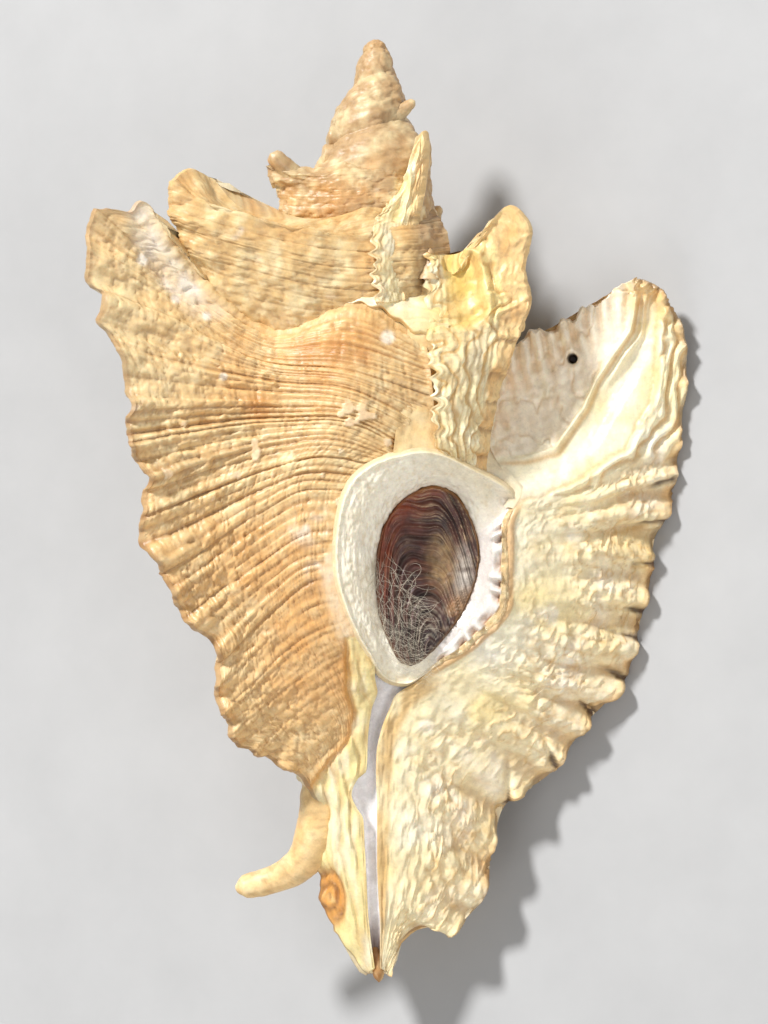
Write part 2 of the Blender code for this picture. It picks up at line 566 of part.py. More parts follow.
def opening_rim():
    """The rim of the opening: up along the outer lip, over the callus and down its left edge."""
    cords = np.linspace(0.245, 0.60, 26)
    up = cage_rows(LIP_CAGE, cords)[:, 0]
    down = cage_rows(LEFT_CAGE, cords)[::-1, 0]
    top = np.array(CALLUS_TOP)
    return np.concatenate([up, top, down, np.array(CANAL_MOUTH)])


def opening_loops():
    """Closed loops from above the rim of the opening down round the lid and into the hollow."""
    rim = opening_rim()
    middle = np.array(LID_MIDDLE)
    ring = lid_ring(96)
    angle = np.arctan2(rim[:, 1] - middle[1], rim[:, 0] - middle[0])
    ring_angle = np.arctan2(ring[:, 1] - middle[1], ring[:, 0] - middle[0])
    order = np.argsort(ring_angle)
    reach = np.hypot(ring[:, 0] - middle[0], ring[:, 1] - middle[1])[order]
    inner = np.interp(angle, ring_angle[order], reach, period=2 * math.pi) + 0.6
    seat = np.column_stack([middle[0] + inner * np.cos(angle), middle[1] + inner * np.sin(angle)])
    loops = [rim + np.array([0.0, 0.0, 6.0])]
    seat_height = lid_height(seat[:, 0], seat[:, 1]) + 0.1
    for share, sunk in OPENING_STEPS:
        flat = rim[:, :2] + (seat - rim[:, :2]) * share
        loops.append(np.column_stack([flat, rim[:, 2] + (seat_height - rim[:, 2]) * sunk]))
    loops.append(np.column_stack([seat, seat_height - 1.8]))
    for share, depth in ((0.92, 2.5), (0.8, -0.5), (0.55, -2.2), (0.1, -2.8)):
        flat = middle + (seat - middle) * share
        loops.append(np.column_stack([flat, np.full(len(flat), depth)]))
    return loops


def opening_cutter():
    return tube(np.stack(opening_loops()))


def early_whorl(body, left, back, right_face, right_angle, cords):
    """The slabs and the core of an earlier whorl, whose opening the next one has covered."""
    whorl = Whorl(body, cords)
    width = np.full(len(cords), EARLY_THICKNESS)
    left_edge = wing_edge(left, LEFT_ANGLE, whorl, cords)
    back_edge = wing_edge(back, BACK_ANGLE, whorl, cords)
    face = cage_rows(right_face, cords)
    last = 360.0 + right_angle
    to_left = flare(whorl, 60.0, left_edge, 4.0, 7.0)
    under_left = [whorl.at(60.0, 2.0), whorl.at(110.0, 2.0)]
    under_left += wing_back(whorl, left_edge, 166.0, width, 0.5)
    to_back = [whorl.at(156.0, 0.4)] + flare(whorl, 170.0, back_edge, 5.0, 2.5)
    under_back = [whorl.at(156.0, 2.0), whorl.at(200.0, 2.0)]
    under_back += wing_back(whorl, back_edge, 255.0, width, 0.5)
    far_edge = face[:, 3] - onward(face[:, 3], whorl.centre) * EARLY_THICKNESS
    to_right = [whorl.at(245.0, 0.4)] + flare(whorl, 258.0, far_edge, 6.0, 1.5)
    under_right = [whorl.at(245.0, 2.0), whorl.at(300.0, 2.0), whorl.at(last - 20.0, 2.0)]
    under_right += [face[:, k] for k in range(4)]
    core = [whorl.at(float(degrees), 0.6) for degrees in range(60, 420, 12)]
    return [
        slab(to_left, under_left, COLUMNS),
        slab(to_back, under_back, COLUMNS),
        slab(to_right, under_right, COLUMNS),
        tube(np.stack(core, axis=1)),
    ]


def spire():
    """The tip of the spire, its small whorls bulging one above the other."""
    heights = np.linspace(82.0, 99.9, 70)
    keys = [row[0] for row in reversed(SPIRE)]
    radii = curve_through(keys, [row[1] for row in reversed(SPIRE)], heights)[:, 0]
    angles = np.radians(np.arange(0, 360, 10))
    turns = np.log(np.maximum(101.5 - heights, 1.0)) * 2.6
    bulge = np.cos(2 * np.pi * (turns[:, None] - angles[None, :] / (2 * np.pi)))
    knots = np.cos(3 * (angles - math.radians(30.0)))[None, :]
    radius = radii[:, None] * (1.0 + 0.05 * bulge + 0.07 * np.clip(knots, 0, 1) ** 2)
    shift = -0.5 * smooth_step((97.0 - heights) / 8.0)
    x = shift[:, None] + radius * np.cos(angles)
    y = np.repeat(heights[:, None], len(angles), axis=1)
    return tube(np.stack([x, y, radius * np.sin(angles)], axis=2))


def bent_horn(path, sides=14, steps=30):
    """A tapering horn along a centre line of x, y, z, radius."""
    path = np.array(path)
    line = curve_through(np.arange(len(path)), path, np.linspace(0, len(path) - 1, steps))
    ahead = np.gradient(line[:, :3], axis=0)
    ahead /= np.linalg.norm(ahead, axis=1)[:, None]
    side = np.cross(ahead, np.array([0.0, 0.0, 1.0]))
    side /= np.linalg.norm(side, axis=1)[:, None]
    up = np.cross(side, ahead)
    loops = []
    for k in range(sides):
        angle = 2 * math.pi * k / sides
        offset = side * math.cos(angle) + up * math.sin(angle)
        loops.append(line[:, :3] + offset * line[:, 3:])
    return tube(np.stack(loops, axis=1))


def knob(foot, tip, wide, narrow):
    foot, tip = np.array(foot), np.array(tip)
    path = []
    for share in (0.0, 0.5, 1.0):
        centre = foot + (tip - foot) * share
        path.append((*centre, wide + (narrow - wide) * share ** 0.7))
    return bent_horn(path, 10, 8)


def lid():
    """The horny lid: a thin plate, dished towards its middle, a little thicker at the rim."""
    around = lid_ring()
    middle = np.array(LID_MIDDLE)
    loops = []
    for share, sink in ((0.02, 1.15), (0.3, 1.0), (0.6, 0.55), (0.85, 0.12), (1.0, 0.25)):
        ring = middle + (around - middle) * share
        loops.append(np.column_stack([ring, lid_height(ring[:, 0], ring[:, 1]) - sink]))
    for share, sink in ((1.0, 0.9), (0.85, 1.3), (0.6, 1.6), (0.3, 2.0), (0.02, 2.15)):
        ring = middle + (around - middle) * share
        loops.append(np.column_stack([ring, lid_height(ring[:, 0], ring[:, 1]) - sink - 0.15]))
    return tube(np.stack(loops))


def cotton():
    """The wad of cotton under the lid, filling the hollow of the opening."""
    around = lid_ring(24)
    middle = np.array(LID_MIDDLE)
    lump = 1.0 + 0.05 * np.sin(np.arange(24) * 1.9)
    loops = []
    for share, height in ((0.1, -2.1), (0.42, -1.5), (0.62, 0.0), (0.76, 1.8), (0.8, 3.0)):
        flat = middle + (around - middle) * (share * lump)[:, None]
        loops.append(np.column_stack([flat, np.full(24, height)]))
    for share, sink in ((0.78, 3.0), (0.5, 2.9), (0.1, 2.9)):
        flat = middle + (around - middle) * (share * lump)[:, None]
        loops.append(np.column_stack([flat, lid_height(flat[:, 0], flat[:, 1]) - sink]))
    return tube(np.stack(loops))


def fuse(name, pieces, cutters):
    """One closed solid out of overlapping pieces, hollowed by the cutters and thinned out."""
    obj = add_mesh(name, [outward(piece) for piece in pieces])
    fusing = obj.modifiers.new("fuse", "REMESH")
    fusing.mode = "VOXEL"
    fusing.voxel_size = VOXEL * MM
    fusing.use_smooth_shade = True
    for number, cutter in enumerate(cutters):
        tool = add_mesh(f"opening_tool_{number}", [outward(cutter)])
        tool.hide_render = True
        tool.display_type = "WIRE"
        cut = obj.modifiers.new("opening", "BOOLEAN")
        cut.operation = "DIFFERENCE"
        cut.solver = "EXACT"
        cut.object = tool
    bake(obj)
    return obj


def bake(obj):
    """Replaces the object's mesh by what its modifiers make of it."""
    graph = bpy.context.evaluated_depsgraph_get()
    made = bpy.data.meshes.new_from_object(obj.evaluated_get(graph), depsgraph=graph)
    obj.modifiers.clear()
    obj.data = made


def keep_largest(obj):
    """Drops every loose island but the largest, such as a bubble inside the solid."""
    mesh = bmesh.new()
    mesh.from_mesh(obj.data)
    mesh.verts.ensure_lookup_table()
    seen = np.zeros(len(mesh.verts), bool)
    islands = []
    for seed in mesh.verts:
        if seen[seed.index]:
            continue
        island, queue = [], [seed]
        seen[seed.index] = True
        while queue:
            vert = queue.pop()
            island.append(vert)
            for edge in vert.link_edges:
                other = edge.other_vert(vert)
                if not seen[other.index]:
                    seen[other.index] = True
                    queue.append(other)
        islands.append(island)
    islands.sort(key=len)
    for island in islands[:-1]:
        bmesh.ops.delete(mesh, geom=island, context="VERTS")
    mesh.to_mesh(obj.data)
    mesh.free()


def thin_out(obj, triangles):
    count = sum(len(polygon.vertices) - 2 for polygon in obj.data.polygons)
    fewer = obj.modifiers.new("fewer", "DECIMATE")
    fewer.ratio = min(1.0, triangles / count)
    fewer.use_collapse_triangulate = True
    bake(obj)


def wear_flat(obj):
    """Takes off what reaches below the surface that the shell lies on."""
    bpy.ops.mesh.primitive_cube_add(size=0.4, location=(0.0, 0.0, -0.2))
    ground = bpy.context.object
    ground.name = "wear_tool"
    ground.hide_render = True
    ground.display_type = "WIRE"
    cut = obj.modifiers.new("worn", "BOOLEAN")
    cut.operation = "DIFFERENCE"
    cut.solver = "EXACT"
    cut.object = ground


def material(name, colour, roughness):
    made = bpy.data.materials.new(name)
    made.use_nodes = True
    shader = made.node_tree.nodes["Principled BSDF"]
    shader.inputs["Base Color"].default_value = (*colour, 1.0)
    shader.inputs["Roughness"].default_value = roughness
    return made


def main():
    for obj in list(bpy.data.objects):
        bpy.data.objects.remove(obj)
    cords = np.linspace(0.0, 1.0, ROWS)
    pieces = last_whorl(cords)
    pieces += early_whorl(BODY_2, LEFT_WING_2, BACK_WING_2, RIGHT_FACE_2, RIGHT_ANGLE_2, cords)
    pieces += early_whorl(BODY_3, LEFT_WING_3, BACK_WING_3, RIGHT_FACE_3, RIGHT_ANGLE_3, cords)
    pieces += [spire(), bent_horn(OLD_CANAL), bent_horn(CANAL_WEB)]
    pieces += [knob(*row) for row in KNOBS]
    shell = fuse("shell", pieces, [opening_cutter(), slit_cutter()])
    keep_largest(shell)
    thin_out(shell, TRIANGLES)
    shell.data.materials.clear()
    shell.data.materials.append(material("shell_lime", (0.72, 0.58, 0.38), 0.45))
    horn = add_mesh("operculum", [outward(lid())])
    horn.data.materials.append(material("horn", (0.06, 0.02, 0.015), 0.4))
    tuft = add_mesh("cotton_wad", [outward(cotton())])
    tuft.data.materials.append(material("cotton", (0.62, 0.55, 0.44), 0.9))
    roll = Matrix.Rotation(math.radians(REST_ROLL), 4, "Y")
    pitch = Matrix.Rotation(math.radians(REST_PITCH), 4, "X")
    lie = Matrix.Translation(Vector(REST_SHIFT) * MM) @ pitch @ roll
    for obj in (shell, horn, tuft):
        obj.data.transform(lie)
        obj.data.update()
    wear_flat(shell)


main()
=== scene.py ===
"""The looks of the murex shell: the whole surface drawn fine, with its cords, folds, frills and colours.

The shell is drawn in its own upright frame, in millimetres, as in the solids: x to the right of the
opening, y along the axis from the tip of the canal to the apex, z out of the opening.
"""

import math

import bpy
import numpy as np
from mathutils import Matrix, Vector


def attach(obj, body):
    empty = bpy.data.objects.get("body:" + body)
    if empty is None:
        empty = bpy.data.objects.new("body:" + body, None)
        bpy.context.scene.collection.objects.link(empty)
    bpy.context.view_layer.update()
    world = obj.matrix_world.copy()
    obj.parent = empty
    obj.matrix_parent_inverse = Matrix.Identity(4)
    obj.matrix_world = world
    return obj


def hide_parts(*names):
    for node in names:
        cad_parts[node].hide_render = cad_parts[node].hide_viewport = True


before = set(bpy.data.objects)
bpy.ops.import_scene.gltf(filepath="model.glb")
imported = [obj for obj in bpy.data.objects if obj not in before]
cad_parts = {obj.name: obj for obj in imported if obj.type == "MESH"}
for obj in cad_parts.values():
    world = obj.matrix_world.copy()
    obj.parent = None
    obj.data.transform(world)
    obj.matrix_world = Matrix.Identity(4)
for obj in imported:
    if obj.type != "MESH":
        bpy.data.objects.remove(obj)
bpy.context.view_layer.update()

MM = 0.001
# The view: how many rows of pixels the photo has, their size, and the point that the camera aims at.
PHOTO_ROWS = 1024
MM_PER_PIXEL = 0.1058
AIM = (0.85, 50.05, 6.0)
# How it lies: turned about its length and across it, in degrees, then shifted.
REST_ROLL = 27.44
REST_PITCH = 5.22
REST_SHIFT = (-3.03, -49.92, 9.15)
# How finely the pieces are drawn.
FINE = 0.96
FRONT = (0.0, 0.0, 1.0)

# From the shell's own frame to the way it lies.
LIE = (
    Matrix.Translation(Vector(REST_SHIFT) * MM)
    @ Matrix.Rotation(math.radians(REST_PITCH), 4, "X")
    @ Matrix.Rotation(math.radians(REST_ROLL), 4, "Y")
)

# The last whorl from the edge of the inner lip out to the edge of the left wing. Each row is one cord:
# its number from the canal's tip (0) to the suture (1), then five points in millimetres.
LEFT_CAGE = (
    (0.00, (-0.3, 1.2, 1.0), (-0.5, 1.0, 0.95), (-0.7, 0.8, 0.8), (-0.9, 0.6, 0.6), (-1.0, 0.3, 0.2)),
    (0.02, (-0.8, 5.5, 1.9), (-1.8, 5.4, 1.8), (-2.8, 5.2, 1.5), (-3.7, 5.0, 1.0), (-4.5, 4.8, 0.3)),
    (0.05, (-1.1, 11.0, 3.0), (-2.4, 10.8, 2.9), (-3.9, 10.3, 2.5), (-5.4, 9.7, 1.6), (-6.6, 9.0, 0.4)),
    (0.11, (-2.3, 20.4, 4.2), (-3.2, 20.0, 4.3), (-4.2, 19.3, 4.0), (-5.0, 18.4, 3.0), (-5.7, 17.0, 1.8)),
    (0.17, (-0.2, 27.5, 5.8), (-2.2, 27.0, 6.0), (-4.2, 25.8, 5.6), (-6.2, 24.0, 5.0), (-8.0, 22.0, 4.6)),
    (0.24, (-0.1, 33.0, 8.2), (-3.3, 32.0, 8.2), (-6.5, 29.9, 7.6), (-9.7, 27.3, 7.0), (-12.8, 24.7, 7.0)),
    (0.33, (-2.5, 38.0, 10.6), (-5.7, 37.3, 10.3), (-9.0, 35.0, 9.3), (-12.2, 32.0, 8.9),
     (-15.4, 29.0, 9.0)),
    (0.42, (-4.5, 44.5, 11.9), (-7.6, 43.6, 11.3), (-10.7, 41.2, 10.3), (-13.9, 38.4, 10.1),
     (-17.0, 35.5, 10.6)),
    (0.54, (-3.2, 53.0, 12.8), (-7.9, 52.2, 11.9), (-12.5, 49.8, 10.8), (-17.2, 46.6, 11.2),
     (-21.8, 43.6, 12.6)),
    (0.66, (2.5, 57.4, 13.2), (-3.9, 58.0, 13.2), (-10.4, 57.6, 11.3), (-16.8, 56.3, 11.4),
     (-23.3, 54.3, 13.2)),
    (0.74, (5.0, 59.3, 12.6), (-2.6, 60.4, 13.3), (-10.2, 60.8, 11.2), (-18.0, 60.6, 11.6),
     (-25.5, 60.0, 13.6)),
    (0.82, (6.2, 61.5, 12.0), (-2.3, 63.2, 13.2), (-10.8, 64.3, 11.0), (-19.5, 66.3, 11.8),
     (-27.8, 69.0, 14.0)),
    (0.90, (5.8, 64.0, 11.4), (-3.0, 66.4, 12.6), (-12.0, 67.0, 10.2), (-21.0, 72.5, 11.6),
     (-29.8, 77.5, 14.4)),
    (0.96, (5.5, 66.5, 10.8), (-2.8, 69.8, 11.4), (-11.0, 68.6, 9.4), (-19.5, 74.2, 10.8),
     (-27.0, 81.6, 14.0)),
    (1.00, (5.0, 68.3, 9.6), (-2.5, 72.6, 9.4), (-10.2, 69.9, 8.0), (-17.2, 73.6, 9.6), (-21.9, 80.1, 12.4)),
)

# The face of the last wing, from the rim of the outer lip to the edge of the wing, in the same rows.
LIP_CAGE = (
    (0.00, (0.4, 1.2, 1.0), (0.6, 1.1, 0.9), (0.8, 1.0, 0.7), (1.0, 0.9, 0.5), (1.2, 0.8, 0.3)),
    (0.02, (0.4, 5.0, 2.0), (1.2, 5.0, 1.9), (2.1, 5.0, 1.5), (3.0, 4.9, 1.0), (3.8, 4.8, 0.6)),
    (0.05, (0.3, 10.5, 3.0), (2.0, 9.4, 2.8), (4.2, 7.6, 2.0), (6.4, 6.0, 1.2), (8.2, 5.0, 0.6)),
    (0.11, (0.1, 19.5, 4.2), (2.6, 18.0, 4.0), (6.0, 15.4, 3.0), (9.4, 13.2, 1.8), (12.2, 11.5, 0.8)),
    (0.17, (0.7, 26.5, 5.4), (3.4, 25.0, 5.1), (7.0, 22.4, 3.8), (10.6, 20.2, 2.4), (13.4, 18.3, 1.0)),
    (0.24, (5.0, 32.7, 6.6), (7.8, 31.0, 5.9), (12.0, 28.4, 4.4), (16.0, 26.0, 2.8), (19.2, 24.0, 1.2)),
    (0.33, (10.0, 36.0, 7.4), (13.0, 35.0, 6.4), (17.5, 33.2, 4.6), (21.8, 31.5, 3.0), (25.0, 30.5, 1.4)),
    (0.42, (13.8, 40.6, 7.8), (16.8, 40.6, 6.6), (21.0, 40.4, 4.8), (25.2, 40.0, 3.0), (28.4, 39.5, 1.4)),
    (0.54, (13.8, 48.5, 8.0), (17.3, 49.2, 6.8), (22.3, 50.0, 5.0), (27.0, 51.0, 3.2), (31.0, 51.5, 1.6)),
    (0.61, (15.4, 52.2, 7.2), (18.6, 52.6, 6.0), (23.2, 54.0, 4.4), (28.0, 56.6, 3.0), (32.0, 58.5, 1.6)),
    (0.66, (14.0, 53.7, 6.8), (18.0, 54.8, 5.0), (23.0, 57.0, 3.6), (28.4, 60.8, 2.6), (32.8, 64.0, 1.6)),
    (0.74, (12.0, 57.5, 5.0), (17.0, 57.2, 3.2), (22.6, 60.0, 2.4), (28.4, 65.6, 2.2), (33.0, 69.5, 1.8)),
    (0.82, (12.2, 60.5, 3.0), (17.0, 60.6, 1.8), (22.2, 63.4, 1.6), (27.4, 68.8, 2.2), (31.5, 72.4, 2.2)),
    (0.90, (12.9, 63.5, 2.0), (17.0, 64.2, 1.2), (21.5, 66.6, 1.4), (26.3, 71.0, 2.4), (29.8, 74.3, 2.8)),
    (1.00, (14.0, 67.6, 1.0), (17.5, 68.7, 1.0), (20.9, 70.2, 1.2), (24.2, 72.7, 2.0), (27.2, 75.0, 3.2)),
)

# The outline of the left wing and of the last wing: cord, x and y, as far as it strays from the rows above.
LEFT_OUTLINE = (
    (0.25, -14.2, 25.2), (0.335, -15.9, 29.3), (0.37, -16.3, 31.9), (0.405, -16.0, 34.4),
    (0.44, -17.5, 37.0), (0.46, -18.9, 38.2), (0.50, -20.5, 40.7), (0.55, -22.1, 44.5),
    (0.58, -23.9, 47.1), (0.622, -23.8, 50.9), (0.65, -23.0, 53.4), (0.665, -24.1, 54.7),
    (0.685, -24.7, 56.0), (0.737, -25.6, 59.8), (0.75, -25.0, 61.1), (0.765, -25.5, 62.6),
    (0.783, -25.8, 64.9), (0.818, -27.3, 68.7), (0.83, -28.3, 69.9), (0.853, -27.9, 72.5),
    (0.876, -29.7, 75.0), (0.90, -29.7, 77.6), (0.93, -29.4, 80.0), (0.95, -28.7, 81.4),
    (0.97, -25.5, 81.0), (0.985, -24.0, 82.2), (1.00, -21.9, 80.1),
)
LIP_OUTLINE = (
    (0.00, 0.9, 0.6), (0.006, 1.3, 1.4), (0.014, 2.4, 3.9), (0.024, 5.0, 5.5), (0.045, 8.1, 5.2),
    (0.062, 9.7, 6.5), (0.075, 10.6, 7.7), (0.10, 12.0, 10.3), (0.12, 12.2, 12.8), (0.143, 12.7, 15.3),
    (0.165, 13.4, 17.9), (0.18, 14.4, 19.2), (0.20, 16.4, 20.4), (0.215, 18.3, 21.7),
    (0.23, 19.5, 23.0), (0.28, 21.8, 26.8), (0.315, 24.3, 29.3), (0.345, 26.5, 31.9),
    (0.37, 27.4, 34.4), (0.42, 28.6, 39.5), (0.445, 29.2, 42.0), (0.50, 29.8, 47.1),
    (0.535, 31.5, 50.9), (0.585, 32.2, 56.0), (0.61, 32.5, 58.5), (0.67, 33.1, 64.9),
    (0.70, 33.1, 67.4), (0.745, 32.7, 69.9), (0.825, 31.1, 72.5), (0.87, 30.4, 73.8),
    (1.00, 27.6, 75.0),
)
# The hidden wing at the back: cord, distance of its edge from the axis, height of its edge.
BACK_WING = (
    (0.00, 1.2, 0.6),
    (0.05, 3.0, 8.5),
    (0.11, 5.2, 13.5),
    (0.17, 10.2, 16.8),
    (0.24, 14.6, 22.0),
    (0.33, 19.0, 30.0),
    (0.42, 22.4, 38.5),
    (0.54, 25.2, 49.5),
    (0.66, 27.0, 61.0),
    (0.74, 27.9, 67.5),
    (0.82, 27.8, 73.0),
    (0.90, 25.8, 77.2),
    (0.96, 23.2, 78.2),
    (1.00, 20.6, 76.4),
)
BACK_WING_ANGLE = 240.0
BACK_WING_CURL = -2.5

# The round body of the last whorl: cord, centre x, radius, height on the back, drop round the back.
BODY = (
    (0.00, 0.1, 0.9, 0.6, 0.0),
    (0.05, -0.8, 2.6, 8.5, 0.0),
    (0.11, -1.0, 3.7, 17.0, 0.0),
    (0.17, -0.8, 4.9, 23.0, 0.0),
    (0.24, 0.0, 7.0, 28.5, 0.0),
    (0.33, 0.0, 9.6, 35.0, 0.5),
    (0.42, 0.0, 11.6, 41.0, 1.0),
    (0.54, 0.0, 13.3, 49.0, 2.0),
    (0.66, 0.0, 13.8, 56.5, 4.0),
    (0.74, 0.0, 13.5, 61.0, 5.5),
    (0.82, 0.0, 12.9, 65.0, 7.0),
    (0.90, 0.0, 11.8, 68.5, 8.5),
    (0.96, 0.0, 10.4, 70.8, 9.5),
    (1.00, 0.0, 9.0, 72.0, 10.0),
)

# The top edge of the callus, from the notch at the upper end of the lip round to the left.
CALLUS_TOP = ((13.4, 53.2, 8.0), (11.0, 54.2, 9.4), (8.6, 55.4, 10.8), (6.2, 56.5, 12.0),
              (3.6, 57.2, 12.9), (1.2, 56.9, 13.3))
# Where the opening runs out into the canal, from the left round to the right.
CANAL_MOUTH = ((0.5, 32.6, 7.4), (1.8, 32.0, 6.9), (3.1, 31.8, 6.6), (4.3, 32.1, 6.5))
# How the opening deepens: share of the way in from its rim to the lid, share of the way down.
OPENING_STEPS = ((0.0, 0.0), (0.25, 0.06), (0.5, 0.2), (0.75, 0.48), (0.9, 0.75), (1.0, 1.0))

# How many points of the opening's rim lie on its outer lip.
LIP_COUNT = 150
# The two edges of the canal's slit, seen from the front: height and x.
SLIT_LEFT = (
    (1.2, -0.15), (3.9, -0.5), (7.3, -0.85), (10.7, -1.0), (14.5, -1.2), (17.4, -1.35), (18.5, -2.0),
    (20.0, -2.6), (21.6, -2.0), (22.6, -1.0), (26.1, -0.85), (29.2, -0.45), (31.4, 0.25), (33.0, 0.1),
)
SLIT_RIGHT = (
    (1.2, 0.4), (5.6, 0.42), (9.0, 0.25), (12.5, 0.12), (19.3, 0.1), (22.0, 0.0), (24.4, 0.05),
    (26.8, 0.5), (29.2, 1.4), (31.2, 2.3), (32.7, 5.0),
)

# Marks on the tan face: where it ends above the canal, as height and x, then tubes and spots.
TAN_BORDER = ((17.0, -8.0), (20.7, -7.0), (23.0, -5.4), (25.5, -3.2), (28.7, -2.4), (31.8, -3.2),
              (36.9, -3.0), (38.5, 12.0))
WORM_RINGS = ((-11.2, 64.0, 0.75), (-16.4, 51.6, 0.5), (-20.6, 66.5, 0.5), (-13.5, 47.5, 0.45),
              (-6.0, 60.6, 0.4))
BLISTER = (-9.2, 55.2, 1.15)
BROWN_SPOTS = ((-4.0, 67.0, 1.3), (-7.2, 66.8, 1.5), (-1.4, 66.4, 0.8), (-12.3, 61.0, 1.2))
WHITE_SPOTS = ((1.3, 68.4, 0.7), (-24.2, 76.3, 0.6), (-20.8, 72.3, 0.5), (-17.6, 70.6, 0.5),
               (-15.9, 64.2, 0.4))
# The purplish channel that runs up to the left wing's tip.
TIP_CHANNEL = ((-25.2, 83.5), (-23.5, 78.5), (-21.0, 74.5), (-16.8, 70.2))
# The scar of an older canal beside the slit: centre x, y, then how wide and how long its rings are.
CANAL_SCAR = (-5.6, 8.4, 1.0, 1.5)

# The ribbon that sweeps up to the tip of the last wing: its inner edge, its gutter, its outer edge.
INNER_EDGE = ((12.0, 55.9), (15.5, 56.0), (19.0, 56.9), (22.0, 61.2), (23.3, 64.2), (25.1, 67.0),
              (26.8, 69.6), (27.4, 73.0))
CHANNEL = ((12.0, 53.6), (14.4, 53.5), (19.0, 54.8), (22.7, 58.1), (25.3, 62.5), (27.6, 66.0),
           (28.6, 70.0), (28.9, 73.0))
OUTER_EDGE = ((15.5, 50.6), (17.5, 51.1), (22.0, 53.5), (26.6, 56.6), (29.3, 60.9), (30.2, 65.2),
              (30.6, 69.0), (30.2, 73.5))
# Where the deep folds of the last wing reach its edge, and the bored hole in it.
FOLD_ENDS = (
    (31.0, 53.6), (30.0, 49.2), (29.2, 44.6), (28.2, 39.4), (27.6, 36.4), (26.3, 32.0), (22.8, 28.2),
    (18.6, 22.9), (13.6, 18.2), (12.6, 13.4),
)
BORE = (21.0, 66.5)

# The shelf above the last whorl: its free edge and its root, seen from the front.
LOBE_FREE = ((-3.2, 72.0), (0.5, 71.2), (2.8, 69.5), (5.2, 68.1), (7.2, 68.5), (9.0, 70.4))
LOBE_ROOT = ((-3.2, 73.6), (0.0, 74.0), (2.4, 73.6), (5.0, 73.4), (7.4, 73.2), (9.2, 72.9))
# Small sheets under the foot and under the top of the old lip: four corners from the lower left, and rows.
OLD_LIP_SHEETS = (
    (((1.8, 56.2, 12.5), (8.2, 54.8, 10.7), (7.6, 69.8, 10.2), (3.4, 69.8, 9.8)), 40),
    (((3.2, 71.5, 8.5), (6.2, 71.5, 8.1), (5.4, 78.5, 6.6), (2.8, 78.5, 7.4)), 30),
)

# The whorl before the last: body, then the edges of its three wings as distance and height.
BODY_2 = (
    (0.00, 0.0, 4.5, 60.0, 8.0),
    (0.25, 0.0, 7.6, 67.0, 7.5),
    (0.50, 0.0, 9.4, 73.0, 7.0),
    (0.70, -0.2, 9.8, 77.0, 6.5),
    (0.85, -0.3, 8.8, 80.0, 6.0),
    (1.00, -0.5, 6.6, 82.0, 5.5),
)
LEFT_WING_2 = (
    (0.00, 6.0, 58.0),
    (0.25, 15.0, 67.0),
    (0.42, 20.6, 74.5),
    (0.58, 23.0, 79.0),
    (0.72, 24.0, 81.8),
    (0.82, 23.7, 84.2),
    (0.91, 21.4, 86.0),
    (1.00, 18.4, 84.8),
)
BACK_WING_2 = ((0.00, 6.0, 56.0), (0.25, 13.0, 66.0), (0.50, 18.5, 76.0), (0.72, 20.5, 81.5),
               (0.86, 19.4, 84.2), (1.00, 15.5, 84.0))
# The face of its right wing and of the one before, from the foot out to the edge, by cord.
RIGHT_FACE_2 = (
    (0.00, (7.5, 54.5, 10.5), (9.0, 54.0, 9.5), (10.0, 53.6, 8.5), (11.0, 53.2, 7.5)),
    (0.15, (6.0, 58.5, 12.2), (8.2, 58.0, 11.2), (10.0, 57.8, 9.8), (11.6, 57.6, 7.6)),
    (0.30, (6.0, 62.5, 12.2), (8.5, 62.6, 11.2), (10.8, 62.8, 9.4), (12.6, 62.5, 7.4)),
    (0.45, (5.6, 66.5, 11.6), (8.6, 66.9, 10.8), (11.6, 67.6, 9.0), (14.6, 68.4, 8.0)),
    (0.60, (5.4, 68.8, 10.6), (8.4, 69.8, 9.8), (12.0, 71.2, 8.6), (16.0, 72.5, 8.6)),
    (0.72, (5.4, 69.8, 10.0), (8.2, 71.2, 9.0), (11.6, 73.4, 8.2), (15.4, 75.6, 8.4)),
    (0.84, (5.2, 71.2, 9.4), (8.0, 73.0, 8.4), (11.4, 76.0, 8.0), (16.1, 79.6, 8.8)),
    (0.92, (5.2, 73.4, 8.8), (7.6, 74.9, 8.0), (10.4, 77.6, 7.8), (14.0, 82.2, 8.8)),
    (1.00, (5.4, 77.4, 8.2), (7.2, 76.0, 7.6), (9.2, 76.4, 7.4), (11.4, 80.0, 8.4)),
)
RIGHT_FACE_3 = (
    (0.00, (0.0, 72.0, 10.9), (1.2, 72.0, 10.3), (2.2, 72.2, 9.5), (3.0, 72.4, 8.5)),
    (0.30, (-0.3, 76.0, 10.8), (1.0, 76.2, 10.2), (2.2, 76.4, 9.2), (3.2, 77.0, 8.0)),
    (0.50, (-0.4, 79.0, 10.0), (1.0, 79.4, 9.4), (2.5, 80.0, 8.4), (4.0, 81.2, 7.4)),
    (0.70, (0.0, 80.8, 8.6), (1.4, 81.4, 8.2), (3.0, 82.6, 7.4), (4.8, 85.2, 6.8)),
    (0.85, (0.4, 81.6, 8.2), (1.9, 82.6, 7.8), (3.5, 84.9, 7.2), (5.1, 88.6, 6.8)),
    (0.93, (0.7, 81.9, 7.8), (2.0, 83.0, 7.4), (3.4, 85.6, 7.0), (4.9, 90.2, 6.8)),
    (1.00, (0.9, 82.2, 7.2), (2.0, 83.3, 7.0), (3.0, 85.2, 6.8), (4.3, 89.4, 6.6)),
)
BODY_3 = (
    (0.00, -0.3, 3.2, 74.0, 5.0),
    (0.30, -0.4, 5.6, 79.0, 4.5),
    (0.60, -0.7, 7.0, 83.0, 4.0),
    (0.85, -0.9, 6.6, 85.8, 3.5),
    (1.00, -0.7, 5.2, 87.4, 3.0),
)
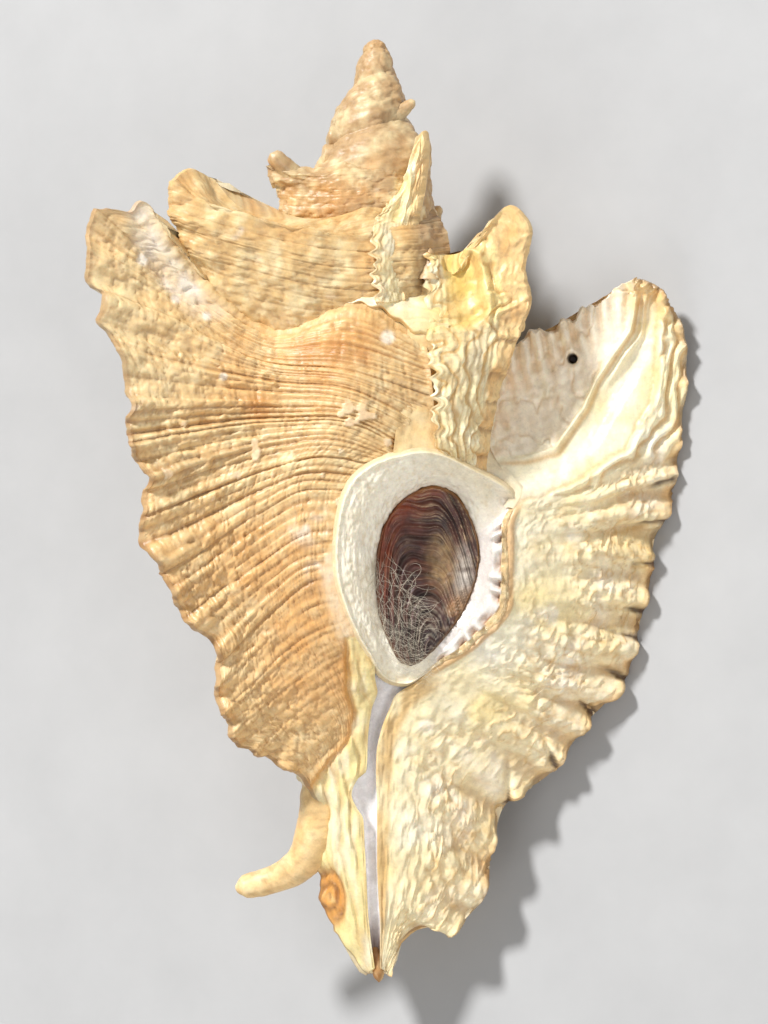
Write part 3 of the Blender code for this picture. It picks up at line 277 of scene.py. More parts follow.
LEFT_WING_3 = (
    (0.00, 5.0, 76.0),
    (0.30, 8.4, 79.5),
    (0.50, 10.4, 81.8),
    (0.64, 10.5, 83.6),
    (0.74, 10.8, 84.8),
    (0.82, 11.4, 85.6),
    (0.89, 11.9, 86.8),
    (0.95, 10.6, 86.6),
    (1.00, 9.6, 86.2),
)
BACK_WING_3 = ((0.00, 4.0, 75.0), (0.40, 9.0, 82.0), (0.70, 11.0, 86.6), (0.90, 10.4, 88.4),
               (1.00, 8.0, 88.0))
# Where the front of the earlier whorls starts, and where their wings stand, in degrees round the axis.
FRONT_ANGLE = 34.0
LEFT_ANGLE = 152.0
BACK_ANGLE = 241.0

# The spire above them: height and radius, with the stub of the older canal as centre line and radius.
SPIRE = (
    (100.8, 0.3), (100.3, 1.0), (99.3, 1.5), (97.9, 1.9), (96.6, 2.25), (95.3, 2.7), (94.1, 3.2),
    (92.8, 3.8), (91.5, 4.3), (90.3, 4.8), (88.5, 5.4), (86.0, 5.8), (82.0, 5.2),
)
# Knobs of the oldest wings on the spire and two frills lower down: foot, tip, radius at each.
KNOBS = (
    ((1.6, 92.2, 1.6), (4.2, 94.0, 2.0), 1.4, 0.35),
    ((-2.6, 92.0, 1.0), (-4.4, 92.5, 1.2), 1.3, 1.0),
    ((-3.0, 89.9, 1.4), (-5.2, 90.2, 1.6), 1.7, 1.3),
    ((-3.6, 87.6, 2.0), (-5.9, 87.9, 2.2), 1.9, 1.5),
    ((-6.0, 83.2, 3.2), (-11.2, 88.0, 6.0), 1.9, 0.85),
    ((5.0, 79.5, -2.0), (6.9, 83.2, -2.6), 2.0, 0.4),
    ((5.6, 74.5, 7.6), (5.7, 77.9, 7.4), 1.3, 0.35),
)
OLD_CANAL = (
    (-5.6, 23.5, 0.6, 1.9),
    (-5.9, 18.5, 0.4, 2.3),
    (-6.4, 15.2, 0.0, 2.3),
    (-8.0, 12.3, -0.6, 1.9),
    (-10.4, 10.7, -1.3, 1.6),
    (-13.0, 9.9, -1.8, 1.45),
    (-15.2, 9.3, -2.1, 1.1),
)
# The point in which both sides of the canal end.
BEAK = ((-0.1, 4.2, -0.3, 0.7), (0.0, 2.6, -0.25, 1.05), (0.2, 1.1, 0.05, 0.85), (0.3, -0.5, 0.1, 0.35))
LID_OUTLINE = (
    (6.0, 53.0), (3.0, 51.5), (0.6, 48.0), (0.0, 44.0), (0.2, 40.0), (1.1, 37.0), (2.5, 34.4),
    (3.6, 33.9), (5.0, 34.5), (7.4, 37.0), (9.4, 40.0), (10.7, 43.5), (10.9, 46.0), (10.2, 49.0),
    (8.4, 52.0),
)
LID_MIDDLE = (5.4, 43.6)


def smooth_step(t):
    """Eases from 0 to 1."""
    t = np.clip(t, 0.0, 1.0)
    return t * t * (3.0 - 2.0 * t)


def between(x, low, high):
    """0 below low, 1 above high, eased between them."""
    return smooth_step((x - low) / (high - low))


def curve_through(keys, values, at):
    """A smooth curve through the values at the keys, without overshoot, read at the given places."""
    keys = np.asarray(keys, float)
    values = np.asarray(values, float).reshape(len(keys), -1)
    at = np.clip(np.asarray(at, float), keys[0], keys[-1])
    gaps = np.diff(keys)[:, None]
    slopes = np.diff(values, axis=0) / gaps
    inner = np.zeros_like(values)
    same_way = slopes[:-1] * slopes[1:] > 0
    weight_a = 2 * gaps[1:] + gaps[:-1]
    weight_b = gaps[1:] + 2 * gaps[:-1]
    safe_a = np.where(same_way, slopes[:-1], 1.0)
    safe_b = np.where(same_way, slopes[1:], 1.0)
    harmonic = (weight_a + weight_b) / (weight_a / safe_a + weight_b / safe_b)
    inner[1:-1] = np.where(same_way, harmonic, 0.0)
    inner[0], inner[-1] = slopes[0], slopes[-1]
    index = np.clip(np.searchsorted(keys, at, side="right") - 1, 0, len(keys) - 2)
    width = (keys[index + 1] - keys[index])[:, None]
    t = (at - keys[index])[:, None] / width
    return (
        values[index] * (1 + 2 * t) * (1 - t) ** 2
        + values[index + 1] * t * t * (3 - 2 * t)
        + inner[index] * width * t * (1 - t) ** 2
        - inner[index + 1] * width * t * t * (1 - t)
    )


def evened(ring, reach=7):
    """A closed ring of points with its corners eased."""
    kernel = np.hanning(2 * reach + 1)
    kernel /= kernel.sum()
    padded = np.concatenate([ring[-reach:], ring, ring[:reach]])
    return np.stack([np.convolve(padded[:, k], kernel, "valid") for k in range(ring.shape[1])], axis=1)


def cage_rows(cage, cords):
    """The cage's columns at each cord, as an array of cords by columns by xyz."""
    keys = [row[0] for row in cage]
    points = np.array([row[1:] for row in cage], float).reshape(len(cage), -1)
    return curve_through(keys, points, cords).reshape(len(cords), -1, 3)


def with_outline(columns, outline, cords):
    """The cage's columns with the last one drawn to the outline, and the two before it part of the way."""
    keys = [row[0] for row in outline]
    wanted = curve_through(keys, [row[1:] for row in outline], cords)
    inside = ((cords >= keys[0]) & (cords <= keys[-1]))[:, None]
    stray = np.where(inside, wanted - columns[:, 4, :2], 0.0)
    for column, share in ((4, 1.0), (3, 0.55), (2, 0.15)):
        columns[:, column, :2] += stray * share
    return columns


def to_slit(columns, table):
    """Draws the columns nearest the slit to its outline, given as y and x, where that reaches."""
    y = columns[:, 0, 1]
    wanted = curve_through([at[0] for at in table], [at[1] for at in table], y)[:, 0]
    fade = 1.0 - between(y, table[-1][0] - 2.5, table[-1][0])
    stray = (wanted - columns[:, 0, 0]) * fade
    for column, share in ((0, 1.0), (1, 0.45)):
        columns[:, column, 0] += stray * share
    return columns


def on_circle(centre_x, radius, degrees, height):
    """Points at an angle round the axis, one for each cord."""
    angle = math.radians(degrees)
    return np.stack([centre_x + radius * math.cos(angle), height, radius * math.sin(angle)], axis=1)


def mixed(a, b, share):
    """Between two arrays; share is one number for each row, or one for all."""
    share = np.asarray(share, float)
    share = share[:, None] if share.ndim else share
    return a + (b - a) * share


def spline_columns(columns, count):
    """A smooth curve through the columns for every cord at once: cords by count by xyz."""
    columns = np.stack(columns, axis=1)
    steps = np.linalg.norm(np.diff(columns, axis=1), axis=2).mean(axis=0)
    knots = np.concatenate([[0.0], np.cumsum(steps)])
    at = np.linspace(0.0, knots[-1], count)
    gaps = np.diff(knots)[None, :, None]
    slopes = np.diff(columns, axis=1) / gaps
    tangents = np.empty_like(columns)
    tangents[:, 0], tangents[:, -1] = slopes[:, 0], slopes[:, -1]
    before, after = gaps[:, :-1], gaps[:, 1:]
    tangents[:, 1:-1] = (slopes[:, :-1] * after + slopes[:, 1:] * before) / (before + after)
    index = np.clip(np.searchsorted(knots, at, side="right") - 1, 0, len(knots) - 2)
    width = np.diff(knots)[index][None, :, None]
    t = ((at - knots[index]) / np.diff(knots)[index])[None, :, None]
    return (
        columns[:, index] * (1 + 2 * t) * (1 - t) ** 2
        + columns[:, index + 1] * t * t * (3 - 2 * t)
        + tangents[:, index] * width * t * (1 - t) ** 2
        - tangents[:, index + 1] * width * t * t * (1 - t)
    )


def sheet_grid(columns, rows_fine, count):
    """A fine grid through the columns, with each point's share of the way across and its cord."""
    grid = spline_columns(columns, count)
    share = np.broadcast_to(np.linspace(0.0, 1.0, count)[None, :], grid.shape[:2])
    cords = np.broadcast_to(rows_fine[:, None], grid.shape[:2])
    return grid, share, cords


def onward(points, centre_x):
    """The direction of growth at each point, square to the line from the axis."""
    angle = np.arctan2(points[:, 2], points[:, 0] - centre_x)
    return np.stack([-np.sin(angle), np.zeros_like(angle), np.cos(angle)], axis=1)


class Whorl:
    """The round body of one whorl: centre, radius and height of every cord, dropping as it grows."""

    def __init__(self, table, cords):
        keys = [row[0] for row in table]
        values = curve_through(keys, [row[1:] for row in table], cords)
        self.cords = cords
        self.centre, self.radius, self.height, self.drop = values.T

    def at(self, degrees, inward=0.0):
        """Points of the body at an angle, a little inward where asked."""
        height = self.height - self.drop * (degrees - 90.0) / 360.0
        radius = np.maximum(self.radius - inward, 0.25 * self.radius)
        return on_circle(self.centre, radius, degrees, height)


def flare(whorl, start, edge, power, crest=0.0):
    """Columns that follow the body from an angle and then sweep out to the edge of the next wing.

    The crest keeps the topmost cords low until they are near the edge, so that the wing ends in a horn.
    """
    lift = 1.0 + crest * smooth_step((whorl.cords - 0.78) / 0.22)
    edge_angle = np.degrees(np.arctan2(edge[:, 2], edge[:, 0] - whorl.centre)) % 360.0
    edge_angle = np.where(edge_angle < start - 1.0, edge_angle + 360.0, edge_angle)
    edge_radius = np.hypot(edge[:, 2], edge[:, 0] - whorl.centre)
    columns = []
    for share in (0.0, 0.28, 0.5, 0.67, 0.79, 0.88, 0.94, 0.98, 1.0):
        angle = start + (edge_angle - start) * share
        out = share ** power
        radius = whorl.radius + (edge_radius - whorl.radius) * out
        height = whorl.height - whorl.drop * (angle - 90.0) / 360.0
        height = height + (edge[:, 1] - height) * out ** lift
        turn = np.radians(angle)
        columns.append(
            np.stack([whorl.centre + radius * np.cos(turn), height, radius * np.sin(turn)], axis=1)
        )
    return columns


def wing_back(whorl, edge, root_degrees, thickness, hollow=0.0):
    """Columns down the far side of a wing, from its root on the body out to its edge."""
    back_edge = edge + onward(edge, whorl.centre) * thickness[:, None]
    root = whorl.at(root_degrees, 0.6)
    middle = mixed(root, back_edge, 0.45)
    lean = onward(middle, whorl.centre)
    return [root, middle + lean * hollow, back_edge]


def wing_edge(table, degrees, whorl, cords, curl=0.0):
    """The edge of a wing: its distance and height for every cord, at its angle round the axis."""
    keys = [row[0] for row in table]
    radius, height = curve_through(keys, [row[1:] for row in table], cords).T
    turn = np.radians(degrees + curl * cords)
    return np.stack([whorl.centre + radius * np.cos(turn), height, radius * np.sin(turn)], axis=1)


def lid_height(x, y):
    """How far the lid's outer face stands out of the opening: lower towards the outer lip."""
    return 9.2 - 0.26 * x + 0.01 * (y - 43.0)


# Noise
LATTICE = np.random.default_rng(11).random((32, 32, 32))


def value_noise(points):
    """Smooth noise from -1 to 1 at points measured in cells of its lattice."""
    cell = np.floor(points).astype(int)
    t = points - cell
    t = t * t * (3.0 - 2.0 * t)
    total = 0.0
    for i in (0, 1):
        for j in (0, 1):
            for k in (0, 1):
                weight = (
                    (t[..., 0] if i else 1 - t[..., 0])
                    * (t[..., 1] if j else 1 - t[..., 1])
                    * (t[..., 2] if k else 1 - t[..., 2])
                )
                total = total + weight * LATTICE[
                    (cell[..., 0] + i) % 32, (cell[..., 1] + j) % 32, (cell[..., 2] + k) % 32
                ]
    return total * 2.0 - 1.0


def noise(points, size, layers=3, shift=0.0):
    """Layered noise with features of about the given size in millimetres."""
    total = 0.0
    weight = 1.0
    at = np.asarray(points, float) / size + shift
    for _ in range(layers):
        total = total + weight * value_noise(at)
        at = at * 2.03 + 17.3
        weight *= 0.5
    return total / 1.6


def flat_noise(a, b, layers=3, shift=0.0):
    """Layered noise over two running coordinates, already in cells."""
    return noise(np.stack([a, b, np.full_like(a, shift)], axis=-1), 1.0, layers)


def hashed(index, seed):
    """A steady random number from 0 to 1 for each whole number."""
    return np.mod(np.sin(index * 127.1 + seed * 311.7) * 43758.5453, 1.0)


def frill(t, steep=0.8, lift=1.0):
    """Overlapping layers: each rises to a sharp free edge, once for each whole number."""
    t = t - np.floor(t)
    return np.where(t < steep, (t / steep) ** (1.6 * lift), (1.0 - t) / (1.0 - steep))


def linear(*seen):
    """A colour as seen, turned into the linear values that shading uses."""
    seen = np.array(seen)
    return np.where(seen <= 0.04045, seen / 12.92, ((seen + 0.055) / 1.055) ** 2.4)


TAN = linear(0.93, 0.79, 0.56)
CREAM = linear(0.97, 0.90, 0.71)
IVORY = linear(0.98, 0.94, 0.82)
CHALK = linear(0.97, 0.94, 0.88)
GROOVE = linear(0.66, 0.46, 0.25)
ORANGE = linear(0.88, 0.645, 0.36)
YELLOW = linear(0.95, 0.84, 0.52)
LAVENDER = linear(0.965, 0.95, 0.945)
SPIRE_TAN = linear(0.75, 0.62, 0.45)
PAINTED_NOTCH_SHADE = linear(0.25, 0.14, 0.07)
AMBER = linear(0.85, 0.575, 0.26)
# HONEY is the shell's own honey colour; where marked below it is also painted shade between ribs and at the
# foot of layers.
HONEY = linear(0.83, 0.66, 0.40)
UMBER = linear(0.47, 0.31, 0.17)


def tint(base, colour, share):
    """The base colours with another mixed in by a share for every point."""
    return base + (colour - base) * np.clip(share, 0.0, 1.0)[..., None]


def near(points, x, y, radius, soft=0.5):
    """1 within the radius of a place seen from the front, falling to 0."""
    distance = np.hypot(points[..., 0] - x, points[..., 1] - y)
    return 1.0 - between(distance, radius * (1.0 - soft), radius * (1.0 + soft))


def along(points, path):
    """Distance from each point, seen from the front, to a path of x, y, and how far along it is."""
    path = np.array(path, float)
    best = np.full(points.shape[:-1], 1e9)
    place = np.zeros(points.shape[:-1])
    lengths = np.linalg.norm(np.diff(path, axis=0), axis=1)
    total = lengths.sum()
    done = 0.0
    for start, end, length in zip(path[:-1], path[1:], lengths):
        ahead = (end - start) / length
        offset = points[..., :2] - start
        t = np.clip(offset @ ahead, 0.0, length)
        distance = np.linalg.norm(offset - t[..., None] * ahead, axis=-1)
        closer = distance < best
        best = np.where(closer, distance, best)
        place = np.where(closer, (done + t) / total, place)
        done += length
    return best, place


def beside(points, path):
    """Signed distance to a path seen from the front, positive on its right, and the place on it."""
    distance, place = along(points, path)
    path = np.array(path, float)
    best = np.full(points.shape[:-1], 1e9)
    sign = np.ones(points.shape[:-1])
    for start, end in zip(path[:-1], path[1:]):
        ahead = (end - start) / np.linalg.norm(end - start)
        offset = points[..., :2] - start
        t = np.clip(offset @ ahead, 0.0, np.linalg.norm(end - start))
        away = np.linalg.norm(offset - t[..., None] * ahead, axis=-1)
        side = np.sign(offset[..., 0] * ahead[1] - offset[..., 1] * ahead[0])
        sign = np.where(away < best, side, sign)
        best = np.minimum(best, away)
    return distance * sign, place


def grid_normals(grid, side):
    """Unit normals of a grid of points, turned towards the side that a reference gives."""
    du = np.gradient(grid, axis=1)
    dv = np.gradient(grid, axis=0)
    normal = np.cross(du, dv)
    size = np.linalg.norm(normal, axis=2, keepdims=True)
    normal = normal / np.maximum(size, 1e-9)
    reference = side(grid) if callable(side) else np.asarray(side, float)
    if np.sum(normal * reference) < 0:
        normal = -normal
    return normal


def off_axis(grid):
    """Outward from the shell's axis."""
    away = grid.copy()
    away[..., 1] = 0.0
    return away


class Piece:
    """A mesh gathered from grids of points with a colour and a gloss for every point."""

    def __init__(self):
        self.points, self.faces, self.colours, self.gloss = [], [], [], []
        self.count = 0

    def add(self, grid, colour, gloss, side, closed=False):
        """Adds a grid of points; closed joins its last column to the first."""
        rows, columns = grid.shape[:2]
        index = np.arange(rows * columns).reshape(rows, columns) + self.count
        if closed:
            index = np.concatenate([index, index[:, :1]], axis=1)
        quads = np.stack([index[:-1, :-1], index[:-1, 1:], index[1:, 1:], index[1:, :-1]], axis=-1)
        quads = quads.reshape(-1, 4)
        normal = np.cross(np.gradient(grid, axis=1), np.gradient(grid, axis=0))
        reference = side(grid) if callable(side) else np.asarray(side, float)
        if np.sum(normal * reference) < 0:
            quads = quads[:, ::-1]
        self.points.append(grid.reshape(-1, 3))
        self.faces.append(quads)
        self.colours.append(np.broadcast_to(colour, grid.shape).reshape(-1, 3))
        self.gloss.append(np.broadcast_to(gloss, grid.shape[:2]).reshape(-1))
        self.count += rows * columns

    def finish(self, name, node, material):
        """Makes the object, lays it down and gives it its place in the part."""
        lie = np.array(LIE)
        points = np.concatenate(self.points) * MM @ lie[:3, :3].T + lie[:3, 3]
        points[:, 2] = np.maximum(points[:, 2], 0.0)
        faces = np.concatenate(self.faces)
        mesh = bpy.data.meshes.new(name)
        mesh.vertices.add(len(points))
        mesh.vertices.foreach_set("co", points.astype(np.float32).ravel())
        mesh.loops.add(faces.size)
        mesh.loops.foreach_set("vertex_index", faces.astype(np.int32).ravel())
        mesh.polygons.add(len(faces))
        mesh.polygons.foreach_set("loop_start", np.arange(0, faces.size, 4, dtype=np.int32))
        mesh.update(calc_edges=True)
        mesh.validate()
        mesh.polygons.foreach_set("use_smooth", np.ones(len(mesh.polygons), bool))
        colours = np.concatenate(self.colours)
        stored = np.column_stack([colours, np.concatenate(self.gloss)])
        attribute = mesh.color_attributes.new("tone", "FLOAT_COLOR", "POINT")
        attribute.data.foreach_set("color", np.clip(stored, 0.0, 1.0).astype(np.float32).ravel())
        mesh.color_attributes.render_color_index = 0
        obj = bpy.data.objects.new(name, mesh)
        bpy.context.scene.collection.objects.link(obj)
        mesh.materials.append(material)
        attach(obj, "root")
        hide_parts(node)
        return obj


# The spiral cords: grooves of uneven depth that run from one wing to the next at a steady cord number
def cord_grooves(cords, share, spacing, seed, start=0.0, wobble=0.0022):
    """How deep each point lies in a spiral groove, from 0 to 1, for strong grooves and for fine ones."""
    random = np.random.default_rng(seed)
    drift = wobble * flat_noise(share * 5.0, cords * 22.0, 3, seed)
    at = cords + drift
    strong = np.zeros_like(at)
    place = start + spacing * random.random()
    while place < 1.0:
        depth = 0.35 + 0.65 * random.random()
        width = 0.0026 * (0.7 + 0.8 * random.random())
        strong = np.maximum(strong, depth * np.exp(-(((at - place) / width) ** 2)))
        place += spacing * (0.6 + 0.9 * random.random())
    fine = np.zeros_like(at)
    place = start + 0.004
    while place < 1.0:
        depth = 0.3 + 0.7 * random.random()
        fine = np.maximum(fine, depth * np.exp(-(((at - place) / 0.0014) ** 2)))
        place += spacing * (0.25 + 0.3 * random.random())
    return strong, fine


def scales(grid, cords, share, spacing, rows, seed):
    """Ribs made of overlapping scales: the crown of a rib, its scales, and the gaps between ribs."""
    across = (cords / spacing + 0.55 * flat_noise(cords * 9.0, share * 2.5, 3, seed)
              + 0.50 * noise(grid, 2.6, 3, seed + 4.0))
    index = np.floor(across)
    u = across - index - 0.5
    crown = np.cos(np.pi * u)
    pace = rows * (0.75 + 0.5 * hashed(index, seed))
    run = share * pace + hashed(index, seed + 1.0) - 1.1 * u * u + 1.10 * noise(grid, 2.4, 3, seed)
    bold = 0.15 + 0.85 * hashed(index * 31.0 + np.floor(run), seed + 2.0) ** 1.6
    return crown, frill(run) * bold * crown, 1.0 - between(crown, 0.0, 0.45)


def rim_strips(piece, grid, inner, colour, gloss, steps=4):
    """Rounds the edges of a sheet over to its far side: along its top, its foot and its last column."""
    t = np.linspace(0.0, 1.0, steps + 1)[:, None, None]
    bulge = 0.18 * np.sin(np.pi * t)
    for row, outward_step in ((-1, 1.0), (0, -1.0)):
        lean = np.gradient(grid, axis=0)[row]
        lean = lean / np.maximum(np.linalg.norm(lean, axis=1, keepdims=True), 1e-9) * outward_step
        strip = grid[row][None] + (inner[row] - grid[row])[None] * t + bulge * lean[None]
        piece.add(strip, colour[row][None], gloss, lean)
    lean = np.gradient(grid, axis=1)[:, -1]
    lean = lean / np.maximum(np.linalg.norm(lean, axis=1, keepdims=True), 1e-9)
    strip = grid[:, -1][None] + (inner[:, -1] - grid[:, -1])[None] * t + bulge * lean[None]
    piece.add(strip, colour[:, -1][None], gloss, lean)


def build_sheet(piece, outer, inner, cords, count, paint, side, back_count=30, back_paint=None,
                joined=False, torn=0.0, moved=None):
    """A fine outer face with its relief and colours, the rims, and the plainer far face.

    A joined sheet shares its far edge with another one, so that edge stays where it is.
    Torn gives how far the free edge strays in and out.
    """
    grid, share, rows = sheet_grid(outer, cords, count)
    if moved is not None:
        grid = grid + moved(grid, rows)
    ahead = np.gradient(grid, axis=1)
    ahead = ahead / np.maximum(np.linalg.norm(ahead, axis=2, keepdims=True), 1e-9)
    stray = flat_noise(rows[:, -1] * 70.0, rows[:, -1] * 3.0, 3, 4.0)
    tear = torn * stray[:, None] * between(share, 0.80, 1.0)
    grid = grid + ahead * tear[..., None]
    normal = grid_normals(grid, side)
    rise, colour, gloss = paint(grid, share, rows)
    if inner is None:
        rise = rise * (1.0 - between(share, 0.96, 1.0))
    grid = grid + normal * rise[..., None]
    piece.add(grid, colour, gloss, side)
    if inner is None:
        return grid
    far_full = spline_columns(inner, count)
    far, far_share, far_rows = sheet_grid(inner, cords, back_count)
    if moved is not None:
        far = far + moved(far, far_rows)
        far_full = far_full + moved(far_full, np.broadcast_to(cords[:, None], far_full.shape[:2]))
    if not joined:
        edge_shift = (normal * rise[..., None])[:, -1] + (ahead * tear[..., None])[:, -1]
        far = far + edge_shift[:, None] * between(far_share, 0.75, 1.0)[..., None]
        far_full = (far_full + edge_shift[:, None]
                    * between(np.linspace(0, 1, count), 0.75, 1.0)[None, :, None])
    rim_strips(piece, grid, far_full, colour, 0.45)
    far_rise, far_colour, far_gloss = (back_paint or plain_back)(far, far_share, far_rows)
    if joined:
        far_rise = far_rise * (1.0 - between(far_share, 0.9, 1.0))
    far = far - grid_normals(far, side) * far_rise[..., None]
    piece.add(far, far_colour, far_gloss, lambda g: -np.asarray(side(g) if callable(side) else side))
    return grid


def wing_frill(grid, cords):
    """How far the top edge of the last wing is drawn up into small folds."""
    x = grid[..., 0]
    folds = (0.35 + 0.65 * np.cos(2 * np.pi * x / 2.9 + 0.8 + 1.1 * np.sin(0.9 * x))
             + 0.3 * np.cos(2 * np.pi * x / 1.1))
    high = (np.maximum(folds, -0.1) * between(cords, 0.91, 1.0) * (1.0 - between(x, 25.0, 27.0))
            * between(x, 13.0, 15.0))
    return high[..., None] * np.array([0.0, 0.85, 0.15])


def plain_back(grid, share, cords):
    """The opening side of a wing: pale, folded and frilled in rows along the old lip."""
    crown, scale, gap = scales(grid, cords, share, 0.017, 11.0, 63.0)
    folds = np.cos(2 * np.pi * cords / 0.05 + 2.6 * flat_noise(cords * 8.0, share * 1.6, 3, 3.0))
    out = between(share, 0.30, 0.85)
    layers = frill(share * 7.0 - 0.2 * folds + 0.9 * noise(grid, 5.0, 3), 0.85)
    rise = (out * (0.35 * folds * share + 0.20 * crown + 0.45 * scale + 0.35 * layers)
            + 0.14 * noise(grid, 1.4, 2))
    rise *= between(1.0 - share, 0.0, 0.06)
    colour = tint(np.broadcast_to(IVORY, grid.shape), CREAM, 0.8 * between(noise(grid, 4.0, 3), -0.5, 0.4))
    # Painted shade: honey in the gaps between the ribs and at the foot of each layer.
    colour = tint(colour, HONEY, 0.65 * out * between(gap, 0.2, 1.0)
                  + 0.5 * out * (1.0 - between(layers, 0.0, 0.3)))
    colour = tint(colour, TAN, 0.35 + 0.35 * noise(grid, 6.0, 3))
    gloss = np.full(share.shape, 0.42)
    return rise, colour, gloss


def paint_left_front(grid, share, cords):
    """The tan face of the last whorl and of its left wing."""
    x, y = grid[..., 0], grid[..., 1]
    border = np.interp(y, [at[0] for at in TAN_BORDER], [at[1] for at in TAN_BORDER])
    border = border + 0.35 * noise(grid, 1.6, 2)
    body = 1.0 - between(x - border, -0.25, 0.25)
    flap = 1.0 - body
    strong, fine = cord_grooves(cords, share, 0.0125, 21, 0.12, 0.0030)
    threads, hairs = cord_grooves(cords, share, 0.0062, 77, 0.12, 0.0034)
    out = between(share, 0.30, 0.75)
    tip = along(grid, TIP_CHANNEL)[0]
    channel = (1.0 - between(tip + 0.5 * noise(grid, 2.5, 2), 0.6, 2.2)) * between(y, 69.0, 73.0)
    patchy = 0.45 + 0.55 * between(noise(grid, 6.0, 2, 3.3), -0.35, 0.35)
    upper = between(y, 62.0, 70.0) * between(-x, 2.0, 9.0)
    reach = 0.010 + 0.140 * (1.0 - between(y, 42.0, 50.0)) + 0.020 * noise(grid, 1.8, 2)
    beside_callus = ((1.0 - between(share, 0.6 * reach, 1.3 * reach)) * between(cords, 0.24, 0.30)
                     * (1.0 - between(cords, 0.74, 0.82)))
    calm = 0.50 + 0.50 * between(y + 2.0 * noise(grid, 5.0, 2), 34.0, 46.0)
    grooved = (body * (1.0 - channel) * (0.35 + 0.65 * patchy) * (1.0 - 0.55 * upper)
               * (1.0 - 0.85 * beside_callus) * calm)
    crease = np.abs(flat_noise(share * 46.0, cords * 9.0, 3, 5.0))
    growth_line = 1.0 - between(crease, 0.0, 0.20)
    swell = np.cos(2 * np.pi * cords / 0.047 + 2.6 * flat_noise(cords * 6.0, share * 1.5, 2, 9.0))
    wrinkle = np.abs(noise(grid, 1.1, 3, 6.0))
    pits = between(noise(grid, 0.75, 2, 8.0), 0.35, 0.75)
    rise = -(0.34 + 0.22 * out) * strong * grooved
    rise -= 0.15 * np.maximum(threads, fine) * grooved + 0.07 * hairs * grooved
    rise += 0.24 * swell * out * grooved
    rise -= 0.10 * growth_line * body
    rise -= 0.16 * (1.0 - between(wrinkle, 0.0, 0.22)) * body * (0.4 + 0.6 * out)
    rise += 0.24 * noise(grid, 3.2, 3) * (0.5 + out) * (1.0 - 0.7 * channel) + 0.09 * noise(grid, 0.7, 2)
    rise -= 0.10 * pits * body
    edge = between(share, 0.88, 1.0)
    rise += edge * (0.5 * swell + 0.45 * noise(grid, 1.6, 2)) * body
    steps = frill(share * 6.2 + 0.35 * swell + 0.7 * noise(grid, 4.0, 3))
    rise += 0.26 * steps * between(share, 0.40, 0.7) * (1.0 - between(share, 0.93, 1.0)) * grooved
    rise -= 0.60 * channel
    for place_x, place_y, radius in WORM_RINGS:
        ring = np.exp(-(((np.hypot(x - place_x, y - place_y) - radius) / 0.2) ** 2))
        rise += 0.26 * ring
    blister = np.hypot(x - BLISTER[0], y - BLISTER[1])
    rise += 0.30 * np.sqrt(np.clip(1.0 - (blister / BLISTER[2]) ** 2, 0.0, 1.0))
    ledge = np.exp(-(((x - border) / 0.45) ** 2)) * (1.0 - between(y, 36.0, 38.0))
    rise -= 0.45 * ledge * flap
    lapped = frill(x / 1.5 + 0.10 * y + 0.9 * noise(grid * np.array([1.0, 0.6, 1.0]), 3.0, 3, 8.0), 0.8)
    rise += flap * (0.26 * lapped + 0.28 * noise(grid, 1.8, 3) - 0.2) * between(share, 0.03, 0.15)
    scar_x, scar_y, scar_width, scar_length = CANAL_SCAR
    hollow_rings = np.hypot((x - scar_x) / scar_width, (y - scar_y) / scar_length)
    hollow = (1.0 - between(hollow_rings, 1.6, 2.9)) * flap
    rise -= hollow * (0.9 + 0.16 * np.cos(2 * np.pi * hollow_rings / 1.05 + noise(grid, 1.6, 2)))
    rise *= (1.0 - 0.45 * beside_callus) * between(share, 0.0, 0.02)

    colour = np.broadcast_to(TAN, grid.shape)
    speckle = noise(grid, 0.9, 3, 2.0)
    streak = noise(grid * np.array([0.30, 1.0, 1.0]), 1.1, 3, 2.0)
    colour = tint(colour, CREAM, 0.70 * between(speckle + 0.6 * streak, -0.35, 0.9))
    colour = tint(colour, ORANGE, 0.60 * between(noise(grid, 7.0, 3, 4.0), 0.0, 0.6)
                  + 0.20 * (1.0 - between(y, 40.0, 56.0)))
    zone = (near(grid, -5.0, 40.0, 5.5, 0.6) + near(grid, -7.0, 33.5, 5.0, 0.6)
            + 0.8 * near(grid, -5.5, 66.0, 4.5, 0.7))
    colour = tint(colour, AMBER, 0.65 * np.clip(zone, 0, 1) * (0.55 + 0.6 * noise(grid, 2.0, 2)))
    colour = tint(colour, CREAM, 0.50 * between(share, 0.72, 1.0) * between(y, 46.0, 64.0))
    colour = tint(colour, GROOVE, 0.34 * (1.0 - between(wrinkle, 0.0, 0.16)) * body * (1.0 - beside_callus))
    streaked = between(noise(grid * np.array([2.2, 0.7, 1.0]), 1.3, 3, 81.0), -0.2, 0.5)
    colour = tint(colour, linear(0.93, 0.80, 0.64), 0.75 * beside_callus)
    colour = tint(colour, IVORY, 0.45 * beside_callus * streaked)
    colour = tint(colour, GROOVE, 0.72 * strong * grooved + 0.34 * np.maximum(threads, fine) * grooved)
    colour = tint(colour, UMBER, 0.42 * strong ** 3 * grooved * out)
    colour = tint(colour, GROOVE, 0.35 * pits * body)
    for place_x, place_y, radius in BROWN_SPOTS:
        colour = tint(colour, linear(0.72, 0.47, 0.22), 0.6 * near(grid, place_x, place_y, radius, 0.7))
    for place_x, place_y, radius in WHITE_SPOTS:
        colour = tint(colour, CHALK, 0.70 * near(grid, place_x, place_y, radius, 0.4))
    colour = tint(colour, CHALK, 0.6 * near(grid, -7.3, 49.0, 2.1, 0.6)
                  * between(noise(grid, 1.2, 2), -0.3, 0.5))
    colour = tint(colour, CHALK, 0.6 * near(grid, -5.6, 44.0, 1.6, 0.6)
                  * between(noise(grid, 1.2, 2, 5.0), -0.3, 0.5))
    colour = tint(colour, CREAM, 0.5 * (1.0 - between(blister, 0.7, 1.2)))
    colour = tint(colour, LAVENDER, 0.65 * channel * (0.6 + 0.5 * noise(grid, 1.5, 2)))
